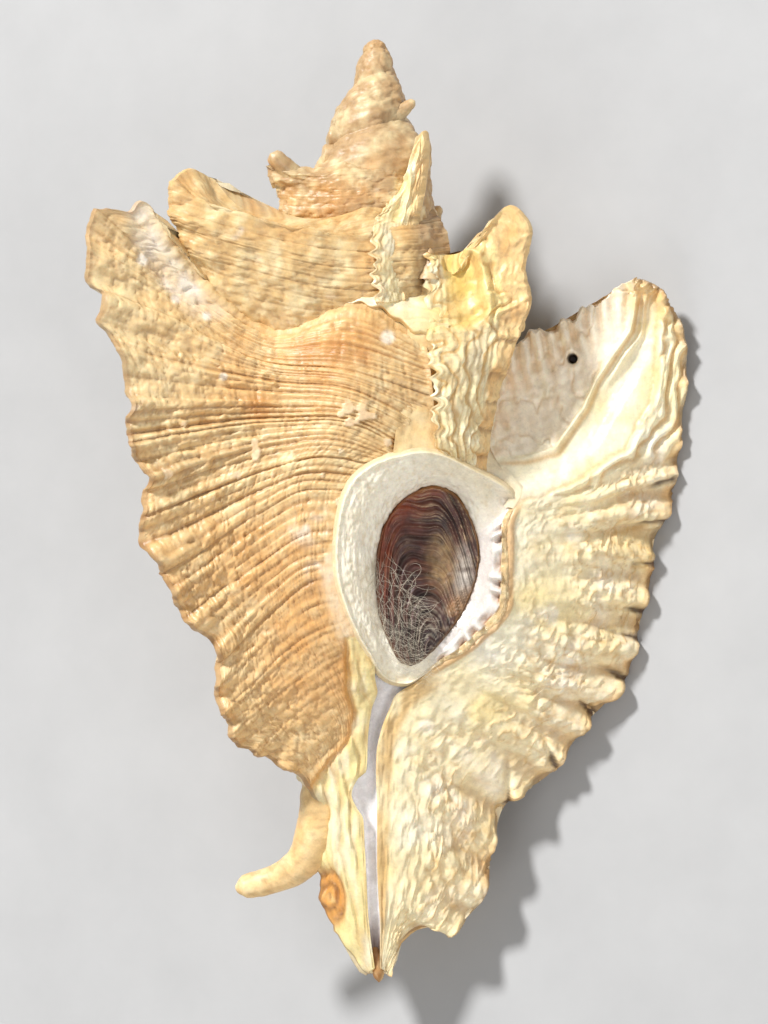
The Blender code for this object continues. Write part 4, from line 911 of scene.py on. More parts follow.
    colour = tint(colour, linear(0.95, 0.87, 0.62), 0.95 * flap)
    colour = tint(colour, IVORY, 0.7 * flap * between(noise(grid * np.array([1.4, 0.4, 1.0]), 1.6, 3,
                                                            3.0), 0.0, 0.6))
    colour = tint(colour, GROOVE, 0.35 * flap * between(noise(grid * np.array([2.2, 0.4, 1.0]), 1.5, 3),
                                                        0.1, 0.7))
    colour = tint(colour, AMBER, 0.65 * ledge)
    # Painted shade: honey at the foot of each lapped layer of the flap.
    colour = tint(colour, HONEY, 0.34 * flap * (1.0 - between(lapped, 0.0, 0.30)))
    colour = tint(colour, AMBER, 0.85 * hollow * between(noise(grid, 1.4, 2), -0.8, 0.0))
    colour = tint(colour, UMBER, 0.55 * hollow * between(np.cos(2 * np.pi * hollow_rings / 1.05
                                                                + 1.5 * noise(grid, 1.6, 2)), -0.2, 1.0))
    colour = tint(colour, linear(0.58, 0.42, 0.28), 0.5 * between(share, 0.985, 1.0))
    gloss = 0.42 - 0.10 * channel + 0.12 * noise(grid, 2.0, 2)
    return rise, colour, gloss


def paint_lip_face(grid, share, cords):
    """The pale face of the last wing: scaly folds from the lip, and ribbons that sweep up to its tip."""
    x, y = grid[..., 0], grid[..., 1]
    inner, inner_place = beside(grid, INNER_EDGE)
    gutter, _ = beside(grid, CHANNEL)
    outer, _ = beside(grid, OUTER_EDGE)
    sway = 0.45 * noise(grid, 3.0, 3) + 0.18 * noise(grid, 0.9, 2)
    starts = between(x, 11.5, 14.5)
    pearly = (1.0 - between(inner + 0.4 * sway, -0.25, 0.25)) * between(y, 54.0, 56.0)
    outside = between(outer + sway, -0.6, 0.6)
    ribbon = (1.0 - pearly) * (1.0 - outside) * between(y, 50.0, 52.5) * starts
    lower = 1.0 - between(cords + 0.01 * sway, 0.56, 0.62)
    swept = outside * (1.0 - lower)
    beyond = between(share, 0.03, 0.14)
    strip = (1.0 - between(share + 0.02 * sway, 0.09, 0.15)) * (1.0 - between(cords, 0.22, 0.27))

    crown, scale, gap = scales(grid, cords, share, 0.0165, 11.0, 31.0)
    small_crown, small_scale, _ = scales(grid, cords, share, 0.0068, 17.0, 52.0)
    folds = np.cos(2 * np.pi * cords / 0.047 + 2.6 * flat_noise(cords * 8.0, share * 1.6, 3, 31.0))
    busy = between(noise(grid, 4.5, 2, 7.0), -0.5, 0.4)
    sheets = frill(share * 6.0 - 0.22 * folds - 0.10 * crown + 0.9 * noise(grid, 5.0, 3, 2.0), 0.85)
    bold_sheets = between(noise(grid, 6.0, 2, 15.0), -0.25, 0.35)
    ribs = lower * beyond * (1.0 - strip) * (0.35 + 0.65 * between(share, 0.10, 0.55))
    flakes = frill(share * 7.5 + 1.5 * noise(grid, 3.0, 3, 55.0) + 0.35 * folds, 0.86)
    torn_at = share * 8.0 + 1.7 * noise(grid, 2.6, 3, 91.0) + 0.5 * folds
    torn_edge = (np.exp(-(((torn_at - np.floor(torn_at) - 0.5) / 0.09) ** 2))
                 * between(noise(grid, 3.4, 2, 93.0), -0.25, 0.15))
    rise = (ribs * (0.66 * folds * share + 0.08 * crown + 0.40 * scale * (0.4 + 0.6 * busy)
                    + 0.30 * flakes * busy + 0.22 * torn_edge))
    rise += (ribs * (0.03 * small_crown + 0.14 * small_scale * busy
                     + 0.14 * sheets * bold_sheets * (0.3 + 0.7 * busy)))
    rise += 0.20 * noise(grid, 2.4, 3) * beyond * (1.0 - 0.5 * pearly) + 0.06 * noise(grid, 0.7, 2)

    layers = frill(outer / 1.35 + 0.85 * noise(grid, 3.6, 3, 5.0) + 0.15 * folds, 0.72)
    thin_layers = frill(outer / 0.62 + 1.0 * noise(grid, 2.2, 2, 9.0), 0.7)
    rise += swept * (0.50 * layers + 0.18 * thin_layers * busy + 0.30 * noise(grid, 1.8, 3))
    rise += ribbon * (-0.45 * (1.0 - between(np.abs(gutter), 0.2, 1.7)) + 0.10 * noise(grid * 0.6, 1.6, 2))
    rise += (0.70 * np.exp(-(((inner - 0.35) / 0.33) ** 2)) * (1.0 - pearly) * starts
             * between(inner_place, 0.05, 0.35))
    rise += 0.50 * np.exp(-(((outer + sway - 0.3) / 0.4) ** 2)) * starts * (1.0 - lower)
    second = np.exp(-(((inner - 1.5 - 0.5 * sway) / 0.28) ** 2)) * between(inner_place, 0.55, 0.8)
    rise += 0.45 * second

    columns = np.cos(2 * np.pi * (x + 0.15 * (y - 60.0)) / 1.55 + 2.6 * noise(grid, 3.5, 2))
    ribbed = between(cords, 0.84, 0.97)
    rise += (pearly * (0.05 + 0.20 * ribbed) * columns
             + pearly * (0.24 * noise(grid, 2.2, 3) + 0.10 * noise(grid, 0.8, 2)))
    creases = 1.0 - between(np.abs(noise(grid * np.array([1.0, 0.55, 1.0]), 2.2, 3, 61.0)), 0.0, 0.14)
    rise -= 0.16 * creases * pearly
    bore = np.hypot(x - BORE[0], y - BORE[1])
    dark = np.zeros_like(x)
    for end_x, end_y in FOLD_ENDS:
        start = (14.0 + 0.25 * (end_x - 14.0), 44.0 + 0.55 * (end_y - 44.0))
        away, part = along(grid, (start, (end_x + 0.6, end_y)))
        away = away + 0.22 * noise(grid, 1.3, 2)
        notch = np.exp(-((away / (0.16 + 0.26 * part)) ** 2)) * between(part, 0.30, 0.95)
        rise -= 0.85 * notch
        dark = np.maximum(dark, notch * between(part, 0.55, 1.0))
    edge = between(share, 0.90, 1.0)
    ragged = noise(grid, 1.5, 3, 12.0)
    rise += edge * (0.30 * folds + 0.55 * ragged) * (1.0 - pearly)
    strands = 1.3 * noise(grid * np.array([2.6, 0.35, 1.0]), 1.5, 3, 19.0)
    rise += strip * (0.22 * strands + 0.22 * noise(grid, 1.2, 3) + 0.15)
    rim = (1.0 - between(share, 0.03, 0.06)) * (1.0 - between(cords, 0.55, 0.61))
    rise += rim * (1.0 - pearly) * (0.34 * noise(grid, 1.3, 3, 37.0) + 0.15)
    rise *= between(share, 0.0, 0.015)
    rise = rise * between(bore, 0.6, 1.2)
    rise -= 1.6 * (1.0 - between(bore, 0.38, 0.62))
    rise += 0.12 * np.exp(-(((bore - 0.95) / 0.25) ** 2))

    colour = np.broadcast_to(IVORY, grid.shape)
    colour = tint(colour, CREAM, 0.85 * between(noise(grid, 4.0, 3, 8.0), -0.5, 0.4))
    colour = tint(colour, YELLOW, 0.45 * between(noise(grid, 6.0, 3, 28.0), 0.05, 0.6))
    colour = tint(colour, CHALK, 0.65 * between(noise(grid, 3.0, 3, 3.0), 0.05, 0.6) * (1.0 - ribbon))
    # Painted shade: honey in the gaps between the ribs and at the foot of each sheet and scale, and groove
    # brown in the troughs of the folds.
    colour = tint(colour, HONEY, 0.45 * ribs * between(gap, 0.2, 1.0) * (0.3 + 0.7 * share) * bold_sheets)
    colour = tint(colour, HONEY, 0.28 * ribs * (1.0 - between(sheets, 0.0, 0.30)) * bold_sheets)
    colour = tint(colour, HONEY, 0.38 * ribs * (1.0 - between(scale, 0.0, 0.10)) * busy
                  * (0.4 + 0.6 * share))
    colour = tint(colour, GROOVE, 0.55 * ribs * between(-folds, 0.45, 1.0) * between(share, 0.35, 1.0)
                  * (0.5 + 0.5 * busy))
    colour = tint(colour, TAN, 0.38 * lower * between(share, 0.25, 0.95)
                  * (0.6 + 0.6 * noise(grid, 3.0, 3, 95.0)))
    colour = tint(colour, HONEY, 0.62 * ribs * torn_edge)
    colour = tint(colour, linear(1.0, 0.94, 0.84), 0.90 * pearly)
    colour = tint(colour, CHALK, 0.25 * pearly * (0.7 + 0.5 * noise(grid, 3.0, 2)))
    colour = tint(colour, linear(0.98, 0.87, 0.74),
                  0.45 * pearly * between(noise(grid, 3.2, 3, 6.0), -0.2, 0.6))
    colour = tint(colour, HONEY, 0.32 * pearly * ribbed * between(-columns, -0.2, 0.8))
    colour = tint(colour, HONEY, 0.24 * creases * pearly)
    colour = tint(colour, IVORY, 0.60 * pearly * between(noise(grid, 1.8, 3, 71.0), 0.05, 0.5))
    colour = tint(colour, IVORY, 0.75 * ribbon)
    colour = tint(colour, YELLOW, 0.35 * ribbon * between(noise(grid, 2.4, 2, 21.0), 0.0, 0.6))
    # Painted shade: honey at the foot of each layer in the swept band.
    colour = tint(colour, HONEY, 0.75 * swept * (1.0 - between(layers, 0.0, 0.35)))
    colour = tint(colour, HONEY, 0.65 * np.exp(-(((inner - 0.75) / 0.22) ** 2)) * (1.0 - pearly) * starts)
    colour = tint(colour, HONEY, 0.60 * np.exp(-(((outer + sway + 0.35) / 0.3) ** 2)) * starts
                  * (1.0 - lower))
    tip_zone = between(y, 68.0, 74.0) * between(x, 25.0, 28.0)
    colour = tint(colour, TAN, np.clip(0.75 * tip_zone + 0.75 * edge * between(ragged, -0.4, 0.2), 0.0, 0.9))
    colour = tint(colour, ORANGE, 0.45 * np.clip(tip_zone + edge, 0, 1)
                  * between(noise(grid, 2.0, 2, 44.0), 0.0, 0.5))
    colour = tint(colour, UMBER, 0.55 * between(share, 0.975, 1.0))
    colour = tint(colour, HONEY, 0.75 * strip * between(noise(grid * np.array([1.0, 0.4, 1.0]), 2.0, 3,
                                                              9.0), -0.6, 0.2))
    colour = tint(colour, UMBER, 0.32 * strip * between(-strands, 0.2, 1.0))
    # Painted shade: the deep fold notches darkened nearly to black towards the wing's edge.
    colour = tint(colour, PAINTED_NOTCH_SHADE, 0.85 * between(dark, 0.35, 0.9))
    colour = tint(colour, linear(0.80, 0.60, 0.36), 0.75 * rim * (1.0 - pearly) * (1.0 - strip))
    # Painted shade: the bored hole is a shallow pit, coloured nearly black inside for its dark depth.
    colour = tint(colour, linear(0.20, 0.13, 0.08), 1.0 - between(bore, 0.42, 0.62))
    gloss = 0.47 - 0.14 * pearly - 0.12 * ribbon + 0.12 * noise(grid, 2.0, 2)
    return rise, colour, gloss


def paint_back(seed, spacing=0.017, base=TAN):
    """The outside of a whorl away from the opening, up to its next wing."""

    def paint(grid, share, cords):
        strong, fine = cord_grooves(cords, share, spacing, seed, 0.1, 0.003)
        threads, hairs = cord_grooves(cords, share, spacing * 0.5, seed + 60, 0.1, 0.0034)
        out = between(share, 0.45, 0.9)
        growth = 1.0 - between(np.abs(flat_noise(share * 60.0, cords * 9.0, 3, seed)), 0.0, 0.20)
        swell = np.cos(2 * np.pi * cords / (spacing * 2.9)
                       + 2.4 * flat_noise(cords * 6.0, share * 2.0, 2, seed))
        wrinkle = 1.0 - between(np.abs(noise(grid, 1.1, 3, 6.0)), 0.0, 0.22)
        pits = between(noise(grid, 0.8, 2, 8.0), 0.35, 0.75)
        rise = (-0.36 * strong - 0.15 * np.maximum(fine, threads) - 0.07 * hairs - 0.10 * growth
                - 0.14 * wrinkle)
        rise += 0.26 * swell * out + 0.26 * noise(grid, 3.5, 3) + 0.09 * noise(grid, 0.7, 2) - 0.10 * pits
        rise += between(share, 0.90, 1.0) * (0.45 * swell + 0.4 * noise(grid, 1.5, 2))
        rise += 0.28 * frill(share * 12.0 + 0.3 * swell + 0.7 * noise(grid, 4.0, 3)) * out
        colour = np.broadcast_to(base, grid.shape)
        speckle = noise(grid, 0.9, 3, 2.0) + 0.6 * noise(grid * np.array([0.4, 1.0, 0.4]), 1.2, 3, 2.0)
        colour = tint(colour, CREAM, 0.70 * between(speckle, -0.35, 0.9))
        colour = tint(colour, ORANGE, 0.50 * between(noise(grid, 8.0, 3, seed * 0.1), -0.1, 0.6))
        colour = tint(colour, UMBER, 0.30 * wrinkle)
        colour = tint(colour, GROOVE, 0.80 * strong + 0.40 * np.maximum(fine, threads) + 0.3 * pits)
        colour = tint(colour, CHALK, 0.60 * between(noise(grid, 2.2, 2, 19.0), 0.55, 0.8))
        colour = tint(colour, UMBER, 0.5 * between(share, 0.985, 1.0))
        gloss = 0.42 + 0.12 * noise(grid, 2.0, 2)
        return rise, colour, gloss

    return paint


def lid_ring(count=48):
    """The outline of the lid as a closed ring of x, y."""
    outline = np.array(LID_OUTLINE)
    closed = np.vstack([outline, outline[:1]])
    ring = curve_through(np.arange(len(closed)), closed, np.linspace(0, len(closed) - 1, count + 1)[:-1])
    return evened(ring, max(2, count // 24))


def opening_rim():
    """The rim of the opening: up along the outer lip, over the callus and down its left edge."""
    cords = np.linspace(0.245, 0.60, LIP_COUNT)
    up = cage_rows(LIP_CAGE, cords)[:, 0]
    down = cage_rows(LEFT_CAGE, cords)[::-1, 0]
    top = curve_through(np.arange(6), CALLUS_TOP, np.linspace(0, 5, 50))
    mouth = curve_through(np.arange(4), CANAL_MOUTH, np.linspace(0, 3, 24))
    ring = np.concatenate([up, top, down, mouth])
    place = np.arange(len(ring))
    soft = (between(place, LIP_COUNT + 20, LIP_COUNT + 45)
            * (1.0 - between(place, len(ring) - 60, len(ring) - 30)))
    return evened(ring, 9) * (1.0 - soft)[:, None] + evened(ring, 36) * soft[:, None]


def opening(piece):
    """The callus and the toothed lip round the lid, and the wall that goes down behind it."""
    rim = opening_rim()
    middle = np.array(LID_MIDDLE)
    ring = lid_ring(360)
    angle = np.arctan2(rim[:, 1] - middle[1], rim[:, 0] - middle[0])
    ring_angle = np.arctan2(ring[:, 1] - middle[1], ring[:, 0] - middle[0])
    order = np.argsort(ring_angle)
    reach = np.hypot(ring[:, 0] - middle[0], ring[:, 1] - middle[1])[order]
    inner = np.interp(angle, ring_angle[order], reach, period=2 * math.pi) + 0.06
    seat = np.column_stack([middle[0] + inner * np.cos(angle), middle[1] + inner * np.sin(angle)])
    seat_height = lid_height(seat[:, 0], seat[:, 1]) - 0.25
    on_lip = np.zeros(len(rim))
    on_lip[6 : LIP_COUNT - 4] = 1.0
    kernel = np.ones(13) / 13
    on_lip = np.convolve(np.concatenate([on_lip[-6:], on_lip, on_lip[:6]]), kernel, "valid")
    run = np.arange(len(rim)) / LIP_COUNT

    shares = np.linspace(0.0, 1.0, int(84 * FINE))
    sunk = np.interp(shares, [step[0] for step in OPENING_STEPS], [step[1] for step in OPENING_STEPS])
    sunk = 0.45 * sunk + 0.55 * shares ** 2.2
    flat = rim[None, :, :2] + (seat - rim[:, :2])[None] * shares[:, None, None]
    level = rim[None, :, 2] + (seat_height - rim[:, 2])[None] * sunk[:, None]
    grid = np.concatenate([flat, level[..., None]], axis=2)
    share = np.broadcast_to(shares[:, None], grid.shape[:2])
    lip = np.broadcast_to(on_lip[None, :], share.shape)
    run = np.broadcast_to(run[None, :], share.shape)
    x, y = grid[..., 0], grid[..., 1]

    beat = run * 10.5 + 0.22 * np.sin(run * 23.0) + 0.10 * noise(grid, 1.5, 2)
    order_of_tooth = np.floor(beat)
    u = beat - order_of_tooth - 0.5
    size = 0.45 + 0.55 * hashed(order_of_tooth, 3.0)
    ends = between(run, 0.02, 0.10) * (1.0 - between(run, 0.80, 0.90))
    body = np.cos(np.pi * u) ** 2
    edge_of_band = 0.215 - 0.085 * body * size * ends + 0.03 * noise(grid, 2.2, 3)
    inside_band = between(share - edge_of_band, -0.015, 0.02)
    fade_in = 1.0 - between(share, 0.33 + 0.12 * size, 0.55 + 0.16 * size)
    tooth = body * inside_band * fade_in * size * ends * lip
    band = lip * (1.0 - inside_band)
    hollow = lip * ends * (1.0 - body) * inside_band * (1.0 - between(share, 0.29, 0.50))
    wrinkles = np.cos(2 * np.pi * run * 46.0 + 6.0 * noise(grid, 1.4, 3))
    layered = frill(share * 22.0 + 0.8 * noise(grid, 1.6, 2) + 0.25 * wrinkles, 0.75)
    stain = 1.0 - between(share + 0.02 * noise(grid, 1.8, 2), 0.0, 0.10)
    ledge = np.exp(-(((share - 0.06) / 0.06) ** 2)) * (1.0 - lip)
    grains = noise(grid * np.array([1.5, 0.75, 1.0]), 0.46, 2, 4.0)
    rise = (0.95 * tooth - 0.50 * hollow + 0.28 * ledge
            + band * (0.15 + 0.32 * noise(grid, 1.2, 3, 6.0) + 0.10 * layered))
    rise += 0.14 * noise(grid, 3.6, 2) + 0.14 * grains * (1.0 - 0.75 * lip)
    notch = np.exp(-((np.hypot((x - 14.6) / 1.9, (y - 51.3) / 0.75)) ** 2))
    rise -= 0.5 * notch
    rise -= 0.30 * (1.0 - between(share, 0.0, 0.05)) * (1.0 - 0.85 * lip)
    normal = grid_normals(grid, FRONT)
    grid = grid + normal * rise[..., None]

    warm = between(noise(grid, 3.5, 3), -0.4, 0.6)
    colour = tint(np.broadcast_to(linear(1.0, 0.965, 0.885), grid.shape), linear(0.85, 0.815, 0.785), lip)
    colour = tint(colour, linear(0.95, 0.89, 0.75),
                  0.55 * (1.0 - lip) * (0.3 + 0.7 * warm) * (1.0 - between(share, 0.3, 0.9)))
    colour = tint(colour, linear(0.90, 0.81, 0.64), 0.42 * between(-grains, 0.10, 0.6) * (1.0 - lip))
    # Painted shade: the hollows between the teeth greyed towards lavender.
    colour = tint(colour, linear(0.78, 0.71, 0.67), 0.60 * hollow)
    colour = tint(colour, linear(0.92, 0.895, 0.86), 0.95 * np.clip(tooth * 1.8, 0.0, 1.0))
    rusty = hollow * (1.0 - between(share, 0.24, 0.32))
    colour = tint(colour, linear(0.70, 0.50, 0.28), 0.75 * np.clip(rusty * 1.3, 0.0, 1.0))
    colour = tint(colour, linear(0.88, 0.745, 0.52), 0.90 * band)
    colour = tint(colour, linear(0.97, 0.89, 0.70),
                  0.75 * band * between(noise(grid, 1.1, 3, 13.0), 0.0, 0.5))
    colour = tint(colour, UMBER, 0.22 * band * between(-noise(grid, 0.9, 3, 16.0), 0.1, 0.5))
    colour = tint(colour, linear(0.96, 0.89, 0.70), 0.60 * (1.0 - lip) * stain)
    # Painted shadow: a thin brown line along the callus's outer rim stands in for the shade beside its
    # raised edge.
    colour = tint(colour, linear(0.78, 0.62, 0.38), 0.35 * (1.0 - lip) * (1.0 - between(share, 0.0, 0.03)))
    colour = tint(colour, linear(0.60, 0.45, 0.30), 0.60 * between(share, 0.965, 1.0))
    gloss = 0.34 - 0.08 * lip + 0.06 * noise(grid, 1.0, 2)
    skirt = []
    away = rim[:, :2] - middle
    away = away / np.linalg.norm(away, axis=1)[:, None]
    for out, down in ((0.35, 0.9), (0.30, 0.45), (0.16, 0.12)):
        skirt.append(np.column_stack([grid[0, :, :2] + away * out, grid[0, :, 2] - down]))
    piece.add(np.concatenate([skirt, grid]), np.concatenate([colour[:1]] * 3 + [colour]),
              np.concatenate([gloss[:1]] * 3 + [gloss]), FRONT, closed=True)
    wall = [grid[-1]]
    for part, depth in ((1.0, None), (0.92, 2.5), (0.8, -0.5), (0.55, -2.2), (0.1, -2.8)):
        at = middle + (seat - middle) * part
        deep = seat_height - 1.8 if depth is None else np.full(len(at), depth)
        wall.append(np.column_stack([at, deep]))
    wall = np.array(wall)
    inward = np.array([middle[0], middle[1], 4.0]) - wall
    piece.add(wall, linear(0.62, 0.55, 0.48), 0.35, inward, closed=True)


def canal(piece):
    """The slit of the canal: two walls and a floor, pale inside and dark near the tip."""
    cords = np.linspace(0.0, 0.27, int(200 * FINE))
    right = to_slit(cage_rows(LIP_CAGE, cords), SLIT_RIGHT)[:, 0]
    left = to_slit(cage_rows(LEFT_CAGE, cords), SLIT_LEFT)[:, 0]
    depth = np.column_stack([np.zeros_like(cords), np.zeros_like(cords),
                             0.8 + 0.8 * smooth_step(cords / 0.2)])
    inset = (right - left) * 0.12
    columns = [left + np.array([-0.25, 0.0, 0.05]), left - 0.35 * depth - inset * 0.3,
               left - depth + inset * 0.4,
               (left + right) / 2.0 - 1.1 * depth, right - depth - inset * 0.4,
               right - 0.35 * depth + inset * 0.3,
               right + np.array([0.25, 0.0, 0.05])]
    grid = spline_columns(columns, int(40 * FINE))
    y = grid[..., 1]
    across = np.linspace(-1.0, 1.0, grid.shape[1])[None, :] * np.ones_like(y)
    grid = grid + np.array(FRONT) * (0.08 * noise(grid, 1.5, 2) * (1.0 - np.abs(across)))[..., None]
    colour = np.broadcast_to(LAVENDER, grid.shape)
    colour = tint(colour, linear(0.86, 0.80, 0.74),
                  0.4 * between(noise(grid * np.array([2.0, 0.5, 1.0]), 2.0, 3), 0.0, 0.7))
    colour = tint(colour, linear(0.42, 0.26, 0.15), 0.9 * (1.0 - between(y, 2.5, 8.0)))
    colour = tint(colour, HONEY, 0.85 * between(across, 0.86, 0.95))
    colour = tint(colour, CREAM, 0.85 * between(-across, 0.84, 0.95))
    piece.add(grid, colour, 0.22, FRONT)


def gusset(piece):
    """What closes the corner behind the upper end of the lip, under the old lip above it."""
    cords = np.linspace(0.57, 1.0, 60)
    lip = cage_rows(LIP_CAGE, cords)
    edge = lip[:, 0] + (lip[:, 1] - lip[:, 0]) * 0.12
    under = np.array(FRONT)
    reach = (0.2 + 0.8 * between(cords, 0.60, 0.70))[:, None]
    columns = [edge - 0.15 * under, edge + np.array([-1.2, 0.3, 0.15]) * reach,
               edge + np.array([-3.5, 1.0, 0.3]) * reach,
               edge + np.array([-7.0, 1.5, 0.2]) * reach]
    grid = spline_columns(columns, 60)
    grid = grid + under * (0.2 * noise(grid, 2.0, 2))[..., None]
    piece.add(grid, tint(np.broadcast_to(IVORY, grid.shape), HONEY, 0.10 + 0.4 * noise(grid, 2.5, 2)),
              0.4, FRONT)


def patch(piece, corners, colour, count):
    """A small wavy sheet between four corners, given round from the lower left."""
    low_left, low_right, high_right, high_left = (np.array(corner, float) for corner in corners)
    t = np.linspace(0.0, 1.0, count)
    up, over = t[:, None, None], t[None, :, None]
    grid = ((low_left * (1.0 - over) + low_right * over) * (1.0 - up)
            + (high_left * (1.0 - over) + high_right * over) * up)
    grid = grid + np.array([0.0, 0.0, 0.30]) * noise(grid, 1.6, 3)[..., None]
    shade = tint(np.broadcast_to(colour, grid.shape), CREAM,
                 0.5 * between(noise(grid, 1.5, 2, 5.0), -0.3, 0.5))
    piece.add(grid, tint(shade, UMBER, 0.35 * between(noise(grid, 0.9, 2, 9.0), 0.2, 0.6)), 0.45, FRONT)


def cream_lobe(piece):
    """The bright shelf between the top of the last whorl and the old lip on its right."""
    shares = np.linspace(0.0, 1.0, 110)
    low = curve_through(range(6), LOBE_FREE, shares * 5)
    high = curve_through(range(6), LOBE_ROOT, shares * 5)
    inward = np.linspace(0.0, 1.0, 44)[:, None, None]
    flat = low[None] + (high - low)[None] * inward
    flat[..., 1] += 0.22 * np.sin(flat[..., 0] * 2.9) * (1.0 - inward[..., 0])
    z = (10.7 - 0.012 * (flat[..., :1] - 1.0) ** 2 - 3.4 * inward ** 2.4
         - 0.9 * (1.0 - shares[None, :, None]) ** 3)
    z = z - 2.6 * between(shares, 0.68, 1.0)[None, :, None]
    grid = np.concatenate([flat, z], axis=2)
    layers = frill(grid[..., 1] / 1.1 + 0.25 * grid[..., 0] + 0.7 * noise(grid, 2.5, 2), 0.8)
    rise = 0.20 * noise(grid, 2.4, 3) + 0.09 * layers - 0.7 * (1.0 - between(inward[..., 0], 0.0, 0.14))
    grid = grid + np.array(FRONT) * rise[..., None]
    colour = tint(np.broadcast_to(IVORY, grid.shape), CREAM,
                  0.9 * between(noise(grid, 2.4, 3, 3.0), -0.6, 0.2))
    colour = tint(colour, YELLOW, 0.12 + 0.62 * between(grid[..., 0] + noise(grid, 2.0, 2), 3.5, 7.0))
    colour = tint(colour, HONEY, 0.8 * (1.0 - between(inward[..., 0] + 0.06 * noise(grid, 1.5, 2), 0.04,
                                                      0.16)))
    # Painted shade: honey at the foot of each layer of the shelf.
    colour = tint(colour, HONEY, 0.22 * (1.0 - between(layers, 0.0, 0.2)))
    piece.add(grid, colour, 0.38, FRONT)


def last_whorl(material):
    """The last whorl: the tan front, the pale lip face, the opening, the back and the back of the lip."""
    cords = np.linspace(0.0, 1.0, int(400 * FINE))
    whorl = Whorl(BODY, cords)
    front = to_slit(with_outline(cage_rows(LEFT_CAGE, cords), LEFT_OUTLINE, cords), SLIT_LEFT)
    lip = to_slit(with_outline(cage_rows(LIP_CAGE, cords), LIP_OUTLINE, cords), SLIT_RIGHT)
    edge_width = 0.35 + 0.75 * smooth_step(cords / 0.2)
    left = [front[:, k] for k in range(5)]
    in_front = [column - np.array([0.0, 0.0, 2.2]) * edge_width[:, None] for column in left[:2]]
    back_of_left = in_front + wing_back(whorl, left[4], 168.0, edge_width, 1.0)
    piece = Piece()
    inward = np.array([*LID_MIDDLE, 9.0]) - left[0]
    inward = inward / np.linalg.norm(inward, axis=1)[:, None]
    tucked = between(cords, 0.24, 0.30) * (1.0 - between(cords, 0.80, 0.90))
    further = between(cords, 0.60, 0.70)[:, None]
    shift = (1.0 + 1.6 * further) * inward - np.array(FRONT) * (0.25 + 0.7 * further)
    left[0] = left[0] + shift * tucked[:, None]
    build_sheet(piece, left, back_of_left, cords, int(185 * FINE), paint_left_front, FRONT, 16, torn=0.45)
    piece.finish("shell_left_front", "shell", material)

    piece = Piece()
    face = [lip[:, k] for k in range(5)]
    lip_edge = lip[:, 4]
    far_edge = lip_edge - onward(lip_edge, whorl.centre) * edge_width[:, None]
    below = np.array([0.0, 0.0, 2.0])
    behind = [lip[:, 0] - 1.2 * below, mixed(lip[:, 2], far_edge, 0.3) - below, far_edge]
    build_sheet(piece, face, behind, cords, int(180 * FINE), paint_lip_face, FRONT, 40, joined=True,
                torn=0.35,
                moved=wing_frill)
    piece.finish("shell_lip_face", "shell", material)

    piece = Piece()
    opening(piece)
    canal(piece)
    gusset(piece)
    cream_lobe(piece)
    for corners, count in OLD_LIP_SHEETS:
        patch(piece, corners, TAN, count)
    roof = Whorl(BODY, np.linspace(0.70, 1.0, 30))
    dome = np.stack([roof.at(float(turn), 2.4) for turn in range(0, 360, 6)], axis=1)
    piece.add(dome, CREAM, 0.5, off_axis, closed=True)
    piece.finish("shell_opening", "shell", material)

    rows = np.linspace(0.0, 1.0, int(220 * FINE))
    whorl = Whorl(BODY, rows)
    width = 0.35 + 0.75 * smooth_step(rows / 0.2)
    back_edge = wing_edge(BACK_WING, BACK_WING_ANGLE, whorl, rows, BACK_WING_CURL)
    to_back = [whorl.at(158.0, 0.5)] + flare(whorl, 172.0, back_edge, 5.0, 1.5)
    under_back = ([whorl.at(158.0, 3.0), whorl.at(200.0, 3.0)]
                  + wing_back(whorl, back_edge, 256.0, width, 0.8))
    piece = Piece()
    build_sheet(piece, to_back, under_back, rows, int(110 * FINE), paint_back(5), off_axis, 40, torn=0.4)
    piece.finish("shell_back_wing", "shell", material)

    lip = with_outline(cage_rows(LIP_CAGE, rows), LIP_OUTLINE, rows)[:, 4]
    far_edge = lip - onward(lip, whorl.centre) * width[:, None]
    to_lip = [whorl.at(246.0, 0.5)] + flare(whorl, 258.0, far_edge, 12.0)
    piece = Piece()
    build_sheet(piece, to_lip, None, rows, int(100 * FINE), paint_back(8), off_axis)
    piece.finish("shell_lip_back", "shell", material)


